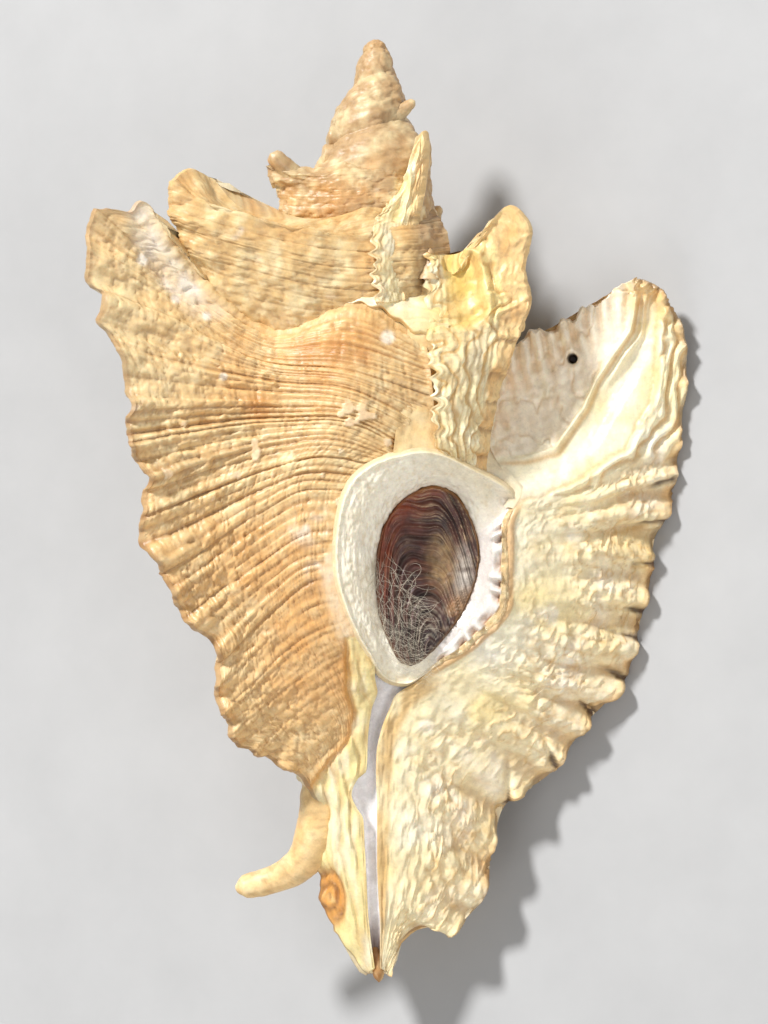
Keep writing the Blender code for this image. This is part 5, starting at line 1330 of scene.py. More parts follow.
def paint_early_front(base, seed, lumps, lined):
    """The outside of an earlier whorl and of its left wing; lined is how strong its cords are."""

    def paint(grid, share, cords):
        strong, fine = cord_grooves(cords, share, 0.050, seed, 0.1, 0.008)
        threads, hairs = cord_grooves(cords, share, 0.021, seed + 60, 0.1, 0.009)
        out = between(share, 0.4, 0.85)
        wrinkle = 1.0 - between(np.abs(noise(grid, 1.3, 3, seed)), 0.0, 0.22)
        growth = 1.0 - between(np.abs(flat_noise(share * 34.0, cords * 8.0, 3, seed)), 0.0, 0.22)
        pits = between(noise(grid, 0.75, 2, 8.0), 0.3, 0.7)
        strong, fine, threads, hairs = (lined * line for line in (strong, fine, threads, hairs))
        rise = (-0.22 * strong - 0.10 * np.maximum(fine, threads) - 0.05 * hairs - 0.13 * wrinkle
                - 0.08 * growth)
        rise += (lumps * (1.5 * noise(grid, 3.4, 3) + 0.5 * noise(grid, 1.2, 2))
                 + 0.09 * noise(grid, 0.6, 2) - 0.12 * pits)
        swell = np.cos(2 * np.pi * cords / 0.13 + 2.4 * flat_noise(cords * 4.0, share * 2.0, 2, seed))
        rise += (lined * (0.12 * swell + 0.20 * frill(share * 6.0 + 0.3 * swell
                                                      + 0.9 * noise(grid, 3.0, 3))) * out)
        rise += between(share, 0.90, 1.0) * (0.35 * lined * swell + 0.45 * noise(grid, 1.4, 2))
        rise *= 1.0 - 0.5 * between(cords, 0.97, 1.0)
        colour = np.broadcast_to(base, grid.shape)
        colour = tint(colour, CREAM, 0.75 * between(noise(grid, 1.3, 3, 2.0) + 0.4 * noise(grid, 0.6, 2),
                                                    -0.35, 0.7))
        colour = tint(colour, ORANGE, 0.50 * between(noise(grid, 4.0, 3, 7.0), -0.1, 0.6))
        colour = tint(colour, GROOVE, 0.30 * wrinkle + 0.12 * growth)
        colour = tint(colour, GROOVE, 0.45 * strong + 0.22 * np.maximum(fine, threads) + 0.25 * pits)
        colour = tint(colour, CHALK, 0.65 * between(noise(grid, 2.4, 2, 12.0), 0.45, 0.75))
        # Painted shade: where each sheet starts, turned away round the whorl, it is darkened to a brownish
        # mauve.
        colour = tint(colour, linear(0.60, 0.47, 0.36), 0.60 * (1.0 - between(share, 0.10, 0.20)))
        gloss = 0.42 + 0.12 * noise(grid, 2.0, 2)
        return rise, colour, gloss

    return paint


def paint_early_face(scaly):
    """The cream face of an earlier lip: layers along it, a smooth yellow gutter, and a tan scaly edge."""

    def paint(grid, share, cords):
        sway = noise(grid, 2.6, 3)
        folds = np.cos(2 * np.pi * cords / 0.14 + 2.0 * flat_noise(cords * 6.0, share * 2.0, 2, 5.0))
        upper = between(cords, 0.48, 0.62)
        gutter = upper * np.exp(-(((share - 0.42 + 0.03 * sway) / 0.15) ** 2))
        margin = between(share + 0.05 * sway, 0.72, 0.80)
        inner_edge = 1.0 - between(share, 0.10, 0.24)
        busy = np.clip(scaly + (1.0 - scaly) * (0.7 * margin + 0.5 * inner_edge), 0.0, 1.0)
        layers = frill(share * 4.4 + 0.30 * folds + 0.9 * sway, 0.78)
        thin_layers = frill(share * 11.0 + 0.9 * noise(grid, 1.6, 2, 4.0), 0.7)
        knobs = between(noise(grid, 1.9, 2, 11.0), -0.1, 0.5) * (1.0 - upper) * (1.0 - margin)
        big_scales = frill(-grid[..., 1] / 3.1 - 0.3 * sway, 0.85) * margin * (1.0 - upper)
        bold = 0.25 + 0.75 * between(noise(grid, 3.2, 2, 40.0), -0.3, 0.4)
        rise = (0.40 * layers * bold + 0.12 * thin_layers) * (1.0 - 0.8 * gutter) * (1.0 - 0.4 * margin)
        rise += 0.12 * folds + 0.16 * knobs + 0.50 * big_scales + 0.14 * noise(grid, 1.3, 2)
        ridge = upper * np.exp(-(((share - 0.61 + 0.06 * sway) / 0.045) ** 2))
        rise = rise * busy + 0.05 * noise(grid, 0.6, 2) + (0.80 * ridge - 0.85 * gutter) * scaly
        rise *= between(share, 0.0, 0.02)
        colour = np.broadcast_to(CREAM, grid.shape)
        colour = tint(colour, IVORY, 0.8 * between(noise(grid, 2.6, 3, 4.0), -0.1, 0.5))
        colour = tint(colour, YELLOW, (0.60 * upper * between(noise(grid, 3.0, 2), -0.7, 0.1)
                                       + 0.4 * gutter) * scaly)
        # Painted shade: honey at the foot of each layer, outside the gutter.
        colour = tint(colour, HONEY, 0.85 * (1.0 - between(layers, 0.0, 0.24)) * (1.0 - gutter) * busy)
        colour = tint(colour, linear(0.90, 0.74, 0.38), 0.55 * gutter * scaly)
        # Painted shade: honey at the foot of each thin layer, outside the gutter.
        colour = tint(colour, HONEY, 0.40 * (1.0 - between(thin_layers, 0.0, 0.25)) * (1.0 - gutter) * busy)
        colour = tint(colour, HONEY, 0.35 * between(noise(grid, 2.0, 3, 23.0), 0.0, 0.5))
        colour = tint(colour, HONEY, 0.65 * upper * scaly
                      * np.exp(-(((share - 0.54 + 0.06 * sway) / 0.03) ** 2)))
        colour = tint(colour, TAN, 0.85 * margin + 0.7 * inner_edge * (1.0 - scaly))
        colour = tint(colour, ORANGE, 0.45 * margin * between(noise(grid, 1.8, 2, 9.0), -0.1, 0.5))
        # Painted shade: umber at the foot of each big scale in the margin, under the free edge of the scale
        # before it.
        colour = tint(colour, UMBER, 0.50 * margin * (1.0 - between(big_scales, 0.0, 0.12)) * (1.0 - upper))
        colour = tint(colour, UMBER, 0.25 * (1.0 - between(np.abs(noise(grid, 0.9, 2, 33.0)), 0.0, 0.12))
                      * busy)
        gloss = 0.40 + 0.12 * noise(grid, 2.0, 2)
        return rise, colour, gloss

    return paint


def lifted(column, cords, seed):
    """The topmost cords of a column moved a little up or down, so that the suture wanders."""
    turn = np.full_like(cords, 3.0) + 0.35 * column[:, 0]
    sway = flat_noise(turn, np.full_like(cords, seed * 1.0), 2, 3.0)
    column = column.copy()
    column[:, 1] += 0.9 * sway * between(cords, 0.80, 1.0)
    return column


def early_whorl(material, name, body, left, back, right_face, rows, columns, base, seed, lumps, scaly,
                lined):
    """One of the earlier whorls: its front and left wing, its back wing, and its old lip on the right."""
    cords = np.linspace(0.0, 1.0, int(rows * FINE))
    columns = int(columns * FINE)
    whorl = Whorl(body, cords)
    width = np.full(len(cords), 0.8)
    left_edge = wing_edge(left, LEFT_ANGLE, whorl, cords)
    back_edge = wing_edge(back, BACK_ANGLE, whorl, cords)
    face = cage_rows(right_face, cords)
    piece = Piece()
    to_left = flare(whorl, FRONT_ANGLE, left_edge, 4.6, 7.0)
    to_left = [lifted(column, cords, seed) for column in to_left]
    under_left = ([whorl.at(FRONT_ANGLE, 2.0), whorl.at(110.0, 2.0)]
                  + wing_back(whorl, left_edge, 166.0, width, 0.5))
    build_sheet(piece, to_left, under_left, cords, columns, paint_early_front(base, seed, lumps, lined),
                off_axis, 16, torn=0.2)
    to_back = [whorl.at(156.0, 0.4)] + flare(whorl, 170.0, back_edge, 5.0, 2.5)
    under_back = ([whorl.at(156.0, 2.0), whorl.at(200.0, 2.0)]
                  + wing_back(whorl, back_edge, 255.0, width, 0.5))
    build_sheet(piece, to_back, under_back, cords, columns,
                paint_early_front(base, seed + 1, lumps, lined), off_axis, 16, torn=0.4)
    piece.finish(name + "_wings", "shell", material)
    piece = Piece()
    far_edge = face[:, 3] - onward(face[:, 3], whorl.centre) * 0.8
    to_right = [whorl.at(245.0, 0.4)] + flare(whorl, 258.0, far_edge, 6.0, 1.5)
    build_sheet(piece, to_right, None, cords, columns, paint_early_front(base, seed + 2, lumps, lined),
                off_axis)
    low = face[:, 0, 1]
    teeth = (0.28 * np.cos(2 * np.pi * low / 2.1 + 1.6 * np.sin(0.8 * low))
             + 0.24 * np.cos(2 * np.pi * low / 1.3 + 2.2 * np.sin(0.5 * low)))
    face[:, 0, 0] += teeth
    lip = [face[:, k] for k in range(4)]
    below = np.array([0.0, 0.0, 1.5])
    behind = [face[:, 0] - 1.3 * below, mixed(face[:, 1], far_edge, 0.4) - below, far_edge]
    build_sheet(piece, lip, behind, cords, int(columns * 1.1), paint_early_face(scaly), FRONT, 8,
                joined=True, torn=0.3)
    core = np.stack([whorl.at(float(turn), 0.6) for turn in range(60, 420, 6)], axis=1)[::4]
    piece.add(core, base, 0.5, off_axis, closed=True)
    piece.finish(name + "_lip", "shell", material)


# The two earlier whorls: their tables, how fine they are, and their colour and relief.
EARLIER_WHORLS = (
    dict(name="shell_second", body=BODY_2, left=LEFT_WING_2, back=BACK_WING_2, right_face=RIGHT_FACE_2,
         rows=200, columns=92, base=linear(0.87, 0.735, 0.51), seed=31, lumps=0.30, scaly=1.0, lined=0.68),
    dict(name="shell_third", body=BODY_3, left=LEFT_WING_3, back=BACK_WING_3, right_face=RIGHT_FACE_3,
         rows=140, columns=72, base=SPIRE_TAN, seed=41, lumps=0.26, scaly=0.35, lined=0.38),
)


def loop_piece(piece, loops, paint, side):
    """Adds a closed ring of loops with its relief and colours."""
    count = loops.shape[1]
    share = np.broadcast_to(np.arange(count)[None, :] / count, loops.shape[:2])
    rows = np.broadcast_to(np.linspace(0.0, 1.0, len(loops))[:, None], loops.shape[:2])
    wrapped = np.concatenate([loops[:, -2:], loops, loops[:, :2]], axis=1)
    normal = grid_normals(wrapped, lambda g: np.concatenate([side(loops)[:, -2:], side(loops),
                                                             side(loops)[:, :2]], axis=1))[:, 2:-2]
    rise, colour, gloss = paint(loops, share, rows)
    piece.add(loops + normal * rise[..., None], colour, gloss, side, closed=True)


def paint_knobbly(base, rough=1.0):
    """A lumpy surface with wrinkles and pits."""

    def paint(grid, share, rows):
        wrinkle = 1.0 - between(np.abs(noise(grid, 1.2, 3, 14.0)), 0.0, 0.20)
        pits = between(noise(grid, 0.7, 2, 8.0), 0.3, 0.7)
        rise = (rough * (0.30 * noise(grid, 2.0, 3) + 0.09 * noise(grid, 0.7, 2) - 0.09 * wrinkle
                         - 0.05 * pits))
        colour = np.broadcast_to(base, grid.shape)
        colour = tint(colour, CREAM, 0.60 * between(noise(grid, 1.4, 3, 5.0), -0.25, 0.7))
        colour = tint(colour, ORANGE, 0.35 * between(noise(grid, 3.0, 2, 9.0), 0.0, 0.6))
        colour = tint(colour, UMBER, 0.22 * wrinkle)
        colour = tint(colour, GROOVE, 0.30 * pits)
        return rise, colour, 0.44 + 0.12 * noise(grid, 1.5, 2)

    return paint


def spire_loops():
    """Rings up the spire: whorls that swell between their sutures, with knobs on their shoulders."""
    heights = np.linspace(82.0, 100.8, int(160 * FINE))
    keys = [row[0] for row in reversed(SPIRE)]
    radii = curve_through(keys, [row[1] for row in reversed(SPIRE)], heights)[:, 0]
    angles = np.radians(np.arange(0, 360, 3.75))
    turns = np.log(np.maximum(102.2 - heights, 1.0)) * 1.35
    place = turns[:, None] - angles[None, :] / (2 * np.pi)
    inside = place - np.floor(place)
    bulge = np.sin(np.pi * inside) ** 0.6 - 0.62
    knots = np.clip(np.cos(3 * (angles - math.radians(35.0))), 0, 1)[None, :] ** 3
    shoulder = np.exp(-(((inside - 0.35) / 0.18) ** 2))
    threads = np.cos(2 * np.pi * inside * 6.0)
    grown = (1.0 - between(heights, 95.0, 98.0))[:, None]
    radius = radii[:, None] * (1.0 + 0.24 * bulge + 0.14 * knots * shoulder * grown) + 0.05 * threads * grown
    shift = -0.5 * smooth_step((97.0 - heights) / 8.0)
    x = shift[:, None] + radius * np.cos(angles)
    y = np.repeat(heights[:, None], len(angles), axis=1)
    return np.stack([x, y, radius * np.sin(angles)], axis=2)


def horn_loops(path, sides=40, steps=70):
    """Loops round a tapering horn along a centre line of x, y, z, radius, closed at its tip."""
    path = np.array(path, float)
    t = np.linspace(0.0, 1.0, steps)
    line = curve_through(np.arange(len(path)), path, t * (len(path) - 1))
    ahead = np.gradient(line[:, :3], axis=0)
    ahead /= np.linalg.norm(ahead, axis=1)[:, None]
    side = np.cross(ahead, np.array(FRONT))
    side /= np.linalg.norm(side, axis=1)[:, None]
    up = np.cross(side, ahead)
    closing = np.sqrt(np.clip((1.0 - t) / 0.08, 0.0, 1.0))
    loops = []
    for k in range(sides):
        angle = 2 * math.pi * k / sides
        offset = side * math.cos(angle) + up * math.sin(angle)
        loops.append(line[:, :3] + offset * (line[:, 3] * closing)[:, None])
    return np.stack(loops, axis=1), line[:, :3]


def add_horn(piece, path, base, rough=1.0, steps=70):
    """Adds a tapering horn with a lumpy surface."""
    loops, line = horn_loops(path, 28, steps)
    loop_piece(piece, loops, paint_knobbly(base, rough), lambda g: g - line[:, None])


def small_growths(material):
    """The spire's tip with its knobs, and the stub of the older canal."""
    piece = Piece()
    loop_piece(piece, spire_loops(), paint_knobbly(SPIRE_TAN), off_axis)
    for foot, tip, wide, narrow in KNOBS:
        foot, tip = np.array(foot), np.array(tip)
        path = [(*(foot + (tip - foot) * t), wide + (narrow - wide) * t ** 0.7) for t in (0.0, 0.5, 1.0)]
        add_horn(piece, path, SPIRE_TAN, 0.7, 20)
    add_horn(piece, OLD_CANAL, TAN, 0.5, 90)
    add_horn(piece, BEAK, GROOVE, 0.4, 30)
    piece.finish("shell_spire", "shell", material)


def lid_surface(share, outline):
    """Points of the lid at a share of the way out, with how far each lies below its rim's level."""
    middle = np.array(LID_MIDDLE)
    sunk = np.interp(share, (0.0, 0.3, 0.6, 0.8, 0.92, 1.0), (1.15, 0.95, 0.5, 0.16, 0.10, 0.30))
    at = middle + (outline[None] - middle) * share[:, None, None]
    level = lid_height(at[..., 0], at[..., 1]) - sunk[:, None]
    return np.concatenate([at, level[..., None]], axis=2)


def operculum(material):
    """The horny lid: growth lines that open towards its lower end, a scar, and a dusty lower half."""
    outline = lid_ring(int(300 * FINE))
    share = np.linspace(0.02, 1.0, int(130 * FINE))
    grid = lid_surface(share, outline)
    out = np.broadcast_to(share[:, None], grid.shape[:2])
    x, y = grid[..., 0], grid[..., 1]
    bend = x - 5.0 + 0.10 * (y - 44.0)
    rings = np.hypot(bend / 5.2, (y - 35.6) / 16.8 + 0.20 * np.exp(-((bend / 2.6) ** 2)) - 0.10)
    rings = rings + 0.030 * noise(grid, 3.0, 3) + 0.006 * noise(grid, 0.8, 2)
    coarse = np.sin(2 * np.pi * rings * 8.5)
    fine = np.sin(2 * np.pi * rings * 27.0 + 1.2 * noise(grid, 2.0, 2))
    steps = frill(-rings * 21.0 + 0.35 * noise(grid, 2.5, 2), 0.82)
    scar = np.exp(-((((x - 7.0) / 1.6) ** 2 + ((y - 44.6) / 2.9) ** 2) ** 1.5))
    flaked = between(noise(grid, 1.6, 3, 31.0), -0.2, 0.5)
    rise = (0.08 * coarse + 0.06 * fine + 0.22 * steps + 0.16 * noise(grid, 2.0, 3)
            + 0.04 * noise(grid, 0.4, 2))
    rise = rise * (1.0 - 0.7 * scar) - 0.30 * scar + 0.16 * scar * noise(grid, 0.6, 2)
    rise *= 1.0 - between(out, 0.96, 1.0)
    normal = grid_normals(grid, FRONT)
    shaped = grid + normal * rise[..., None]
    plum = linear(0.36, 0.21, 0.18)
    colour = np.broadcast_to(plum, grid.shape)
    colour = tint(colour, linear(0.20, 0.12, 0.12), 0.85 * between(noise(grid, 2.2, 3), -0.3, 0.4))
    red = between(-(x - 4.2) * 0.9 + (y - 44.0) * 0.45, -0.5, 3.4) * between(out, 0.45, 0.9)
    colour = tint(colour, linear(0.62, 0.27, 0.12), 0.75 * red * (0.65 + 0.5 * noise(grid, 1.6, 2)))
    bright_edge = 1.0 - between(np.abs(steps - 0.95), 0.0, 0.10)
    hair = (between(np.sin(2 * np.pi * rings * 44.0 + 2.0 * noise(grid, 1.4, 3)), 0.35, 1.0)
            * between(noise(grid, 1.1, 3, 51.0), -0.1, 0.5))
    right = between(x - 5.0 + 0.35 * (y - 48.0), -1.5, 3.0)
    # Partly painted highlight: the crests of the growth steps and of the fine rings are lightened, more on
    # the right, for light caught on raised edges; partly the horn's own paler edges.
    colour = tint(colour, linear(0.86, 0.77, 0.60),
                  0.85 * bright_edge * (0.25 + 0.75 * right) * (0.35 + 0.65 * flaked))
    colour = tint(colour, linear(0.68, 0.55, 0.40),
                  0.45 * between(fine, 0.5, 1.0) * flaked * (0.3 + 0.7 * right))
    colour = tint(colour, linear(0.12, 0.07, 0.06), 0.60 * between(-coarse, 0.2, 1.0) * (1.0 - 0.5 * red))
    colour = tint(colour, linear(0.80, 0.70, 0.54),
                  0.55 * hair * between(out, 0.25, 0.6) * (0.35 + 0.65 * right))
    colour = tint(colour, linear(0.68, 0.56, 0.38), 0.92 * scar * (0.6 + 0.6 * noise(grid, 0.7, 2)))
    sheen = np.exp(-((((x - 9.3) / 0.95) ** 2 + ((y - 43.4) / 3.1) ** 2) ** 1.5))
    colour = tint(colour, linear(0.78, 0.74, 0.69), 0.85 * sheen * between(noise(grid, 0.8, 2), -0.9, 0.0))
    margin = between(out, 0.94, 0.99)
    tan_foot = between(x - 5.0, 0.5, 3.0) * (1.0 - between(y, 40.0, 43.5)) * between(out, 0.55, 0.85)
    colour = tint(colour, linear(0.66, 0.47, 0.26),
                  0.65 * np.clip(margin * (0.4 + 0.6 * right) + tan_foot * flaked, 0, 1))
    dust = between(-(y - 43.5) * 0.30 + 0.6 * noise(grid, 1.3, 3), 0.2, 1.6)
    colour = tint(colour, linear(0.76, 0.71, 0.62),
                  0.38 * dust * between(noise(grid, 0.45, 2, 7.0) + 0.5 * fine, -0.1, 0.7))
    gloss = 0.40 + 0.25 * dust + 0.15 * noise(grid, 2.0, 2) + 0.2 * scar - 0.12 * sheen
    piece = Piece()
    piece.add(shaped, colour, gloss, FRONT, closed=True)
    coarse_share = np.linspace(0.02, 1.0, 12)
    under = lid_surface(coarse_share, outline)
    under[..., 2] -= np.interp(coarse_share, (0.0, 1.0), (1.3, 0.75))[:, None]
    under_colour = tint(np.broadcast_to(plum, under.shape), UMBER,
                        0.5 + 0.5 * np.sin(coarse_share * 40.0)[:, None])
    piece.add(under, under_colour, 0.4, (0.0, 0.0, -1.0), closed=True)
    t = np.linspace(0.0, 1.0, 5)[:, None, None]
    away = outline - np.array(LID_MIDDLE)
    away = np.column_stack([away / np.linalg.norm(away, axis=1)[:, None], np.zeros(len(away))])
    strip = shaped[-1][None] + (under[-1] - shaped[-1])[None] * t + np.sin(np.pi * t) * 0.15 * away[None]
    piece.add(strip, colour[-1][None], 0.5, away, closed=True)
    cap = np.array([shaped[0], np.broadcast_to(shaped[0].mean(axis=0), shaped[0].shape)])
    piece.add(cap, colour[0][None], 0.6, FRONT, closed=True)
    return piece.finish("operculum_fine", "operculum", material)


def fibre(points, radius, sides=5):
    """A thin tube along a line of points, tapering to its ends."""
    ahead = np.gradient(points, axis=0)
    ahead /= np.maximum(np.linalg.norm(ahead, axis=1), 1e-9)[:, None]
    side = np.cross(ahead, np.array([0.31, 0.77, 0.55]))
    side /= np.maximum(np.linalg.norm(side, axis=1), 1e-9)[:, None]
    up = np.cross(side, ahead)
    t = np.linspace(-1.0, 1.0, len(points))
    taper = radius * (0.25 + 0.75 * np.sqrt(np.clip(1.0 - t ** 4, 0.0, 1.0)))
    turn = 2 * np.pi * np.arange(sides) / sides
    ring = side[:, None] * np.cos(turn)[None, :, None] + up[:, None] * np.sin(turn)[None, :, None]
    return points[:, None] + ring * taper[:, None, None]


def wisp_height(x, y):
    """The surface that the loose fibres lie on: the lid and the inner slope of the callus beside it."""
    beyond = np.clip(np.hypot((x - 5.4) / 5.5, (y - 43.4) / 9.6) - 0.97, 0.0, 1.0)
    return lid_height(x, y) - 0.35 + 4.6 * beyond


def cotton(material):
    """The wad behind the lid, and the wisps of it that have come out over the lid's lower left."""
    random = np.random.default_rng(4)
    piece = Piece()
    ring = lid_ring(int(90 * FINE))
    middle = np.array(LID_MIDDLE)
    loops = []
    for share, level in ((0.06, -2.1), (0.42, -1.5), (0.62, 0.0), (0.76, 1.8), (0.8, 3.0)):
        loops.append(np.column_stack([middle + (ring - middle) * share, np.full(len(ring), level)]))
    for share, sunk in ((0.78, 3.0), (0.5, 2.9), (0.06, 2.9)):
        at = middle + (ring - middle) * share
        loops.append(np.column_stack([at, lid_height(at[:, 0], at[:, 1]) - sunk]))
    loops = spline_columns(loops, int(48 * FINE)).transpose(1, 0, 2)
    outward = loops - np.array([middle[0], middle[1], 2.2])
    bumps = (outward / np.linalg.norm(outward, axis=2, keepdims=True)
             * (0.28 * noise(loops, 1.6, 3))[..., None])
    fibre_colour = linear(0.90, 0.86, 0.77)
    piece.add(loops + bumps, fibre_colour, 0.1, outward, closed=True)
    piece.finish("cotton_wad_fine", "cotton_wad", material)

    piece = Piece()
    steps = 16
    s = np.linspace(-0.5, 0.5, steps)
    for _ in range(300):
        place = random.random()
        angle = math.radians(170.0 + 100.0 * random.random())
        if place < 0.72:
            reach = 0.84 + 0.28 * random.random()
        else:
            reach = 0.30 + 0.60 * random.random()
        start = np.array([5.2 + 5.4 * reach * math.cos(angle), 43.4 + 9.6 * reach * math.sin(angle)])
        heading = angle + math.pi / 2 + random.normal() * (0.40 if place < 0.72 else 0.8)
        length = 1.4 + 5.5 * random.random() ** 2
        curl = random.normal() * 1.2
        turn = heading + curl * s + 0.35 * random.normal() * np.sin(7.0 * s + place * 9.0)
        x = start[0] + (np.cumsum(np.cos(turn)) - np.cos(turn).sum() / 2) * length / steps
        y = start[1] + (np.cumsum(np.sin(turn)) - np.sin(turn).sum() / 2) * length / steps
        lift = 0.05 + 0.40 * random.random() ** 3
        arch = np.cos(np.pi * s) * (0.45 * random.random() ** 2)
        z = wisp_height(x, y) + 0.12 + lift + arch
        shade = 0.75 + 0.35 * random.random()
        line = np.stack([x, y, z], axis=1)
        piece.add(fibre(line, 0.008 + 0.008 * random.random(), 4), fibre_colour * shade, 0.1,
                  lambda g: g - g.mean(axis=1, keepdims=True), closed=True)
    piece.finish("cotton_wisps", "cotton_wad", material)


def principled(name):
    """A new material with its node tree and its shader."""
    material = bpy.data.materials.new(name)
    material.use_nodes = True
    tree = material.node_tree
    shader = tree.nodes["Principled BSDF"]
    return material, tree, shader


def link(tree, source, target):
    """Joins an output to an input."""
    tree.links.new(source, target)


def texture(tree, scale, detail=4.0, roughness=0.6):
    """Three-dimensional noise over the object's own space."""
    place = tree.nodes.new("ShaderNodeTexCoord")
    made = tree.nodes.new("ShaderNodeTexNoise")
    made.inputs["Scale"].default_value = scale
    made.inputs["Detail"].default_value = detail
    made.inputs["Roughness"].default_value = roughness
    link(tree, place.outputs["Object"], made.inputs["Vector"])
    return made.outputs["Fac"]


def ramp(tree, value, low, high, dark, light):
    """The value spread between two numbers as it goes from low to high."""
    spread = tree.nodes.new("ShaderNodeMapRange")
    spread.inputs["From Min"].default_value = low
    spread.inputs["From Max"].default_value = high
    spread.inputs["To Min"].default_value = dark
    spread.inputs["To Max"].default_value = light
    link(tree, value, spread.inputs["Value"])
    return spread.outputs["Result"]


def scaled(tree, colour, value):
    """The colour multiplied by a value."""
    product = tree.nodes.new("ShaderNodeVectorMath")
    product.operation = "SCALE"
    link(tree, colour, product.inputs[0])
    link(tree, value, product.inputs["Scale"])
    return product.outputs["Vector"]


def bumped(tree, shader, heights, distance):
    """Fine relief from several noises, laid one on another."""
    previous = None
    for height, strength in heights:
        bump = tree.nodes.new("ShaderNodeBump")
        bump.inputs["Strength"].default_value = strength
        bump.inputs["Distance"].default_value = distance
        link(tree, height, bump.inputs["Height"])
        if previous is not None:
            link(tree, previous, bump.inputs["Normal"])
        previous = bump.outputs["Normal"]
    link(tree, previous, shader.inputs["Normal"])


def toned(tree):
    """The stored colour and gloss of every point."""
    tone = tree.nodes.new("ShaderNodeVertexColor")
    tone.layer_name = "tone"
    return tone.outputs["Color"], tone.outputs["Alpha"]


def shell_material():
    """Shell lime: the stored colours with a fine mottle and grain, and a little light under the skin."""
    material, tree, shader = principled("shell_lime")
    colour, gloss = toned(tree)
    mottle = texture(tree, 900.0, 6.0, 0.65)
    grain = texture(tree, 4200.0, 3.0, 0.6)
    varied = scaled(tree, colour, ramp(tree, mottle, 0.3, 0.7, 0.86, 1.10))
    link(tree, scaled(tree, varied, ramp(tree, grain, 0.3, 0.7, 0.93, 1.05)), shader.inputs["Base Color"])
    rough = tree.nodes.new("ShaderNodeMath")
    rough.operation = "ADD"
    link(tree, gloss, rough.inputs[0])
    link(tree, ramp(tree, mottle, 0.3, 0.7, -0.08, 0.10), rough.inputs[1])
    link(tree, rough.outputs["Value"], shader.inputs["Roughness"])
    bumped(tree, shader, ((mottle, 0.35), (grain, 0.22)), 0.00012)
    shader.inputs["IOR"].default_value = 1.5
    shader.inputs["Subsurface Weight"].default_value = 0.10
    shader.inputs["Subsurface Radius"].default_value = (0.0022, 0.0014, 0.0008)
    shader.inputs["Subsurface Scale"].default_value = 1.0
    return material


def horn_material():
    """The lid's horn, unevenly glossy."""
    material, tree, shader = principled("horn")
    colour, _ = toned(tree)
    mottle = texture(tree, 1500.0, 5.0, 0.6)
    link(tree, scaled(tree, colour, ramp(tree, mottle, 0.3, 0.7, 0.75, 1.25)), shader.inputs["Base Color"])
    link(tree, ramp(tree, mottle, 0.3, 0.7, 0.38, 0.58), shader.inputs["Roughness"])
    bumped(tree, shader, ((mottle, 0.5),), 0.0001)
    shader.inputs["IOR"].default_value = 1.54
    return material


def cotton_material():
    """Raw cotton, matt and a little dusty."""
    material, tree, shader = principled("cotton")
    colour, _ = toned(tree)
    mottle = texture(tree, 2600.0, 4.0, 0.6)
    link(tree, scaled(tree, colour, ramp(tree, mottle, 0.3, 0.7, 0.85, 1.1)), shader.inputs["Base Color"])
    link(tree, ramp(tree, mottle, 0.3, 0.7, 0.85, 0.97), shader.inputs["Roughness"])
    bumped(tree, shader, ((mottle, 0.6),), 0.00008)
    shader.inputs["Sheen Weight"].default_value = 0.25
    return material


# The lights: name, place in metres, size across, power in watts.
LIGHTS = (
    ("light_main", (-0.30, 0.62, 0.85), 0.17, 15.4),
    ("light_fill", (0.75, -0.25, 0.65), 0.6, 3.0),
    ("light_front", (-0.15, -0.8, 0.6), 0.5, 2.2),
)


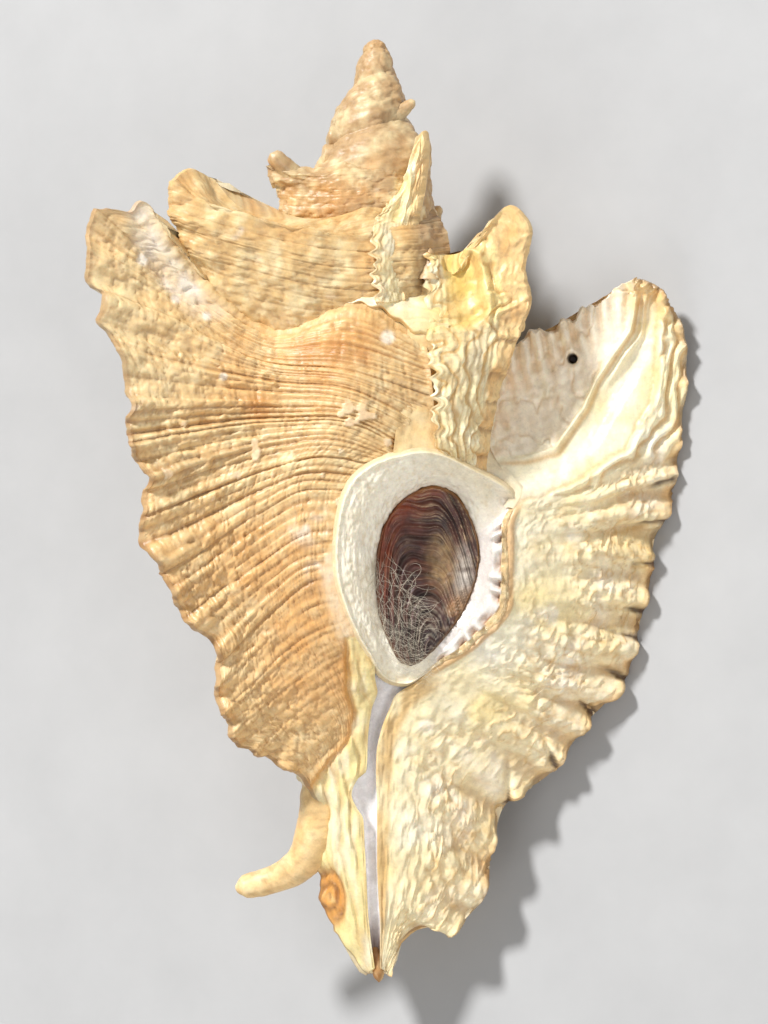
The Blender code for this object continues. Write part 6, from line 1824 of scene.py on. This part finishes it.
def floor_and_light():
    """A pale floor, with a soft main light from the upper left of the view and two weaker ones."""
    mesh = bpy.data.meshes.new("floor")
    reach = 3.0
    corners = [(-reach, -reach, 0.0), (reach, -reach, 0.0), (reach, reach, 0.0), (-reach, reach, 0.0)]
    mesh.from_pydata(corners, [], [(0, 1, 2, 3)])
    floor = bpy.data.objects.new("floor", mesh)
    bpy.context.scene.collection.objects.link(floor)
    material, tree, shader = principled("floor_paper")
    mottle = texture(tree, 90.0, 4.0, 0.6)
    grey = tree.nodes.new("ShaderNodeCombineXYZ")
    tone = ramp(tree, mottle, 0.3, 0.7, 0.42, 0.45)
    for axis in ("X", "Y", "Z"):
        link(tree, tone, grey.inputs[axis])
    link(tree, grey.outputs["Vector"], shader.inputs["Base Color"])
    shader.inputs["Roughness"].default_value = 0.85
    mesh.materials.append(material)
    for name, place, size, power in LIGHTS:
        data = bpy.data.lights.new(name, "AREA")
        data.shape = "DISK"
        data.size = size
        data.energy = power
        lamp = bpy.data.objects.new(name, data)
        lamp.location = place
        aim = Vector((0.0, 0.0, 0.02)) - Vector(place)
        lamp.rotation_euler = aim.to_track_quat("-Z", "Y").to_euler()
        bpy.context.scene.collection.objects.link(lamp)
    world = bpy.data.worlds.new("studio")
    world.use_nodes = True
    world.node_tree.nodes["Background"].inputs["Color"].default_value = (0.88, 0.87, 0.86, 1.0)
    world.node_tree.nodes["Background"].inputs["Strength"].default_value = 0.37
    bpy.context.scene.world = world
    bpy.context.scene.view_settings.view_transform = "Standard"


def camera():
    """Looks into the opening square on, as the shell is seen in its own upright frame."""
    data = bpy.data.cameras.new("view")
    data.lens = 85.0
    data.sensor_fit = "VERTICAL"
    data.sensor_height = 24.0
    obj = bpy.data.objects.new("view", data)
    bpy.context.scene.collection.objects.link(obj)
    target = LIE @ (Vector(AIM) * MM)
    toward = LIE.to_3x3() @ Vector(FRONT)
    up = LIE.to_3x3() @ Vector((0.0, 1.0, 0.0))
    height = PHOTO_ROWS * MM_PER_PIXEL * MM
    distance = height * data.lens / data.sensor_height
    right = up.cross(toward)
    turn = Matrix((right, up, toward)).transposed()
    obj.matrix_world = Matrix.Translation(target + toward * distance) @ turn.to_4x4()
    data.clip_start = 0.01
    data.clip_end = 20.0
    bpy.context.scene.camera = obj


def main():
    """Draws every piece, then the floor, the lights and the camera."""
    shell = shell_material()
    last_whorl(shell)
    for whorl in EARLIER_WHORLS:
        early_whorl(shell, **whorl)
    small_growths(shell)
    operculum(horn_material())
    cotton(cotton_material())
    floor_and_light()
    camera()


main()
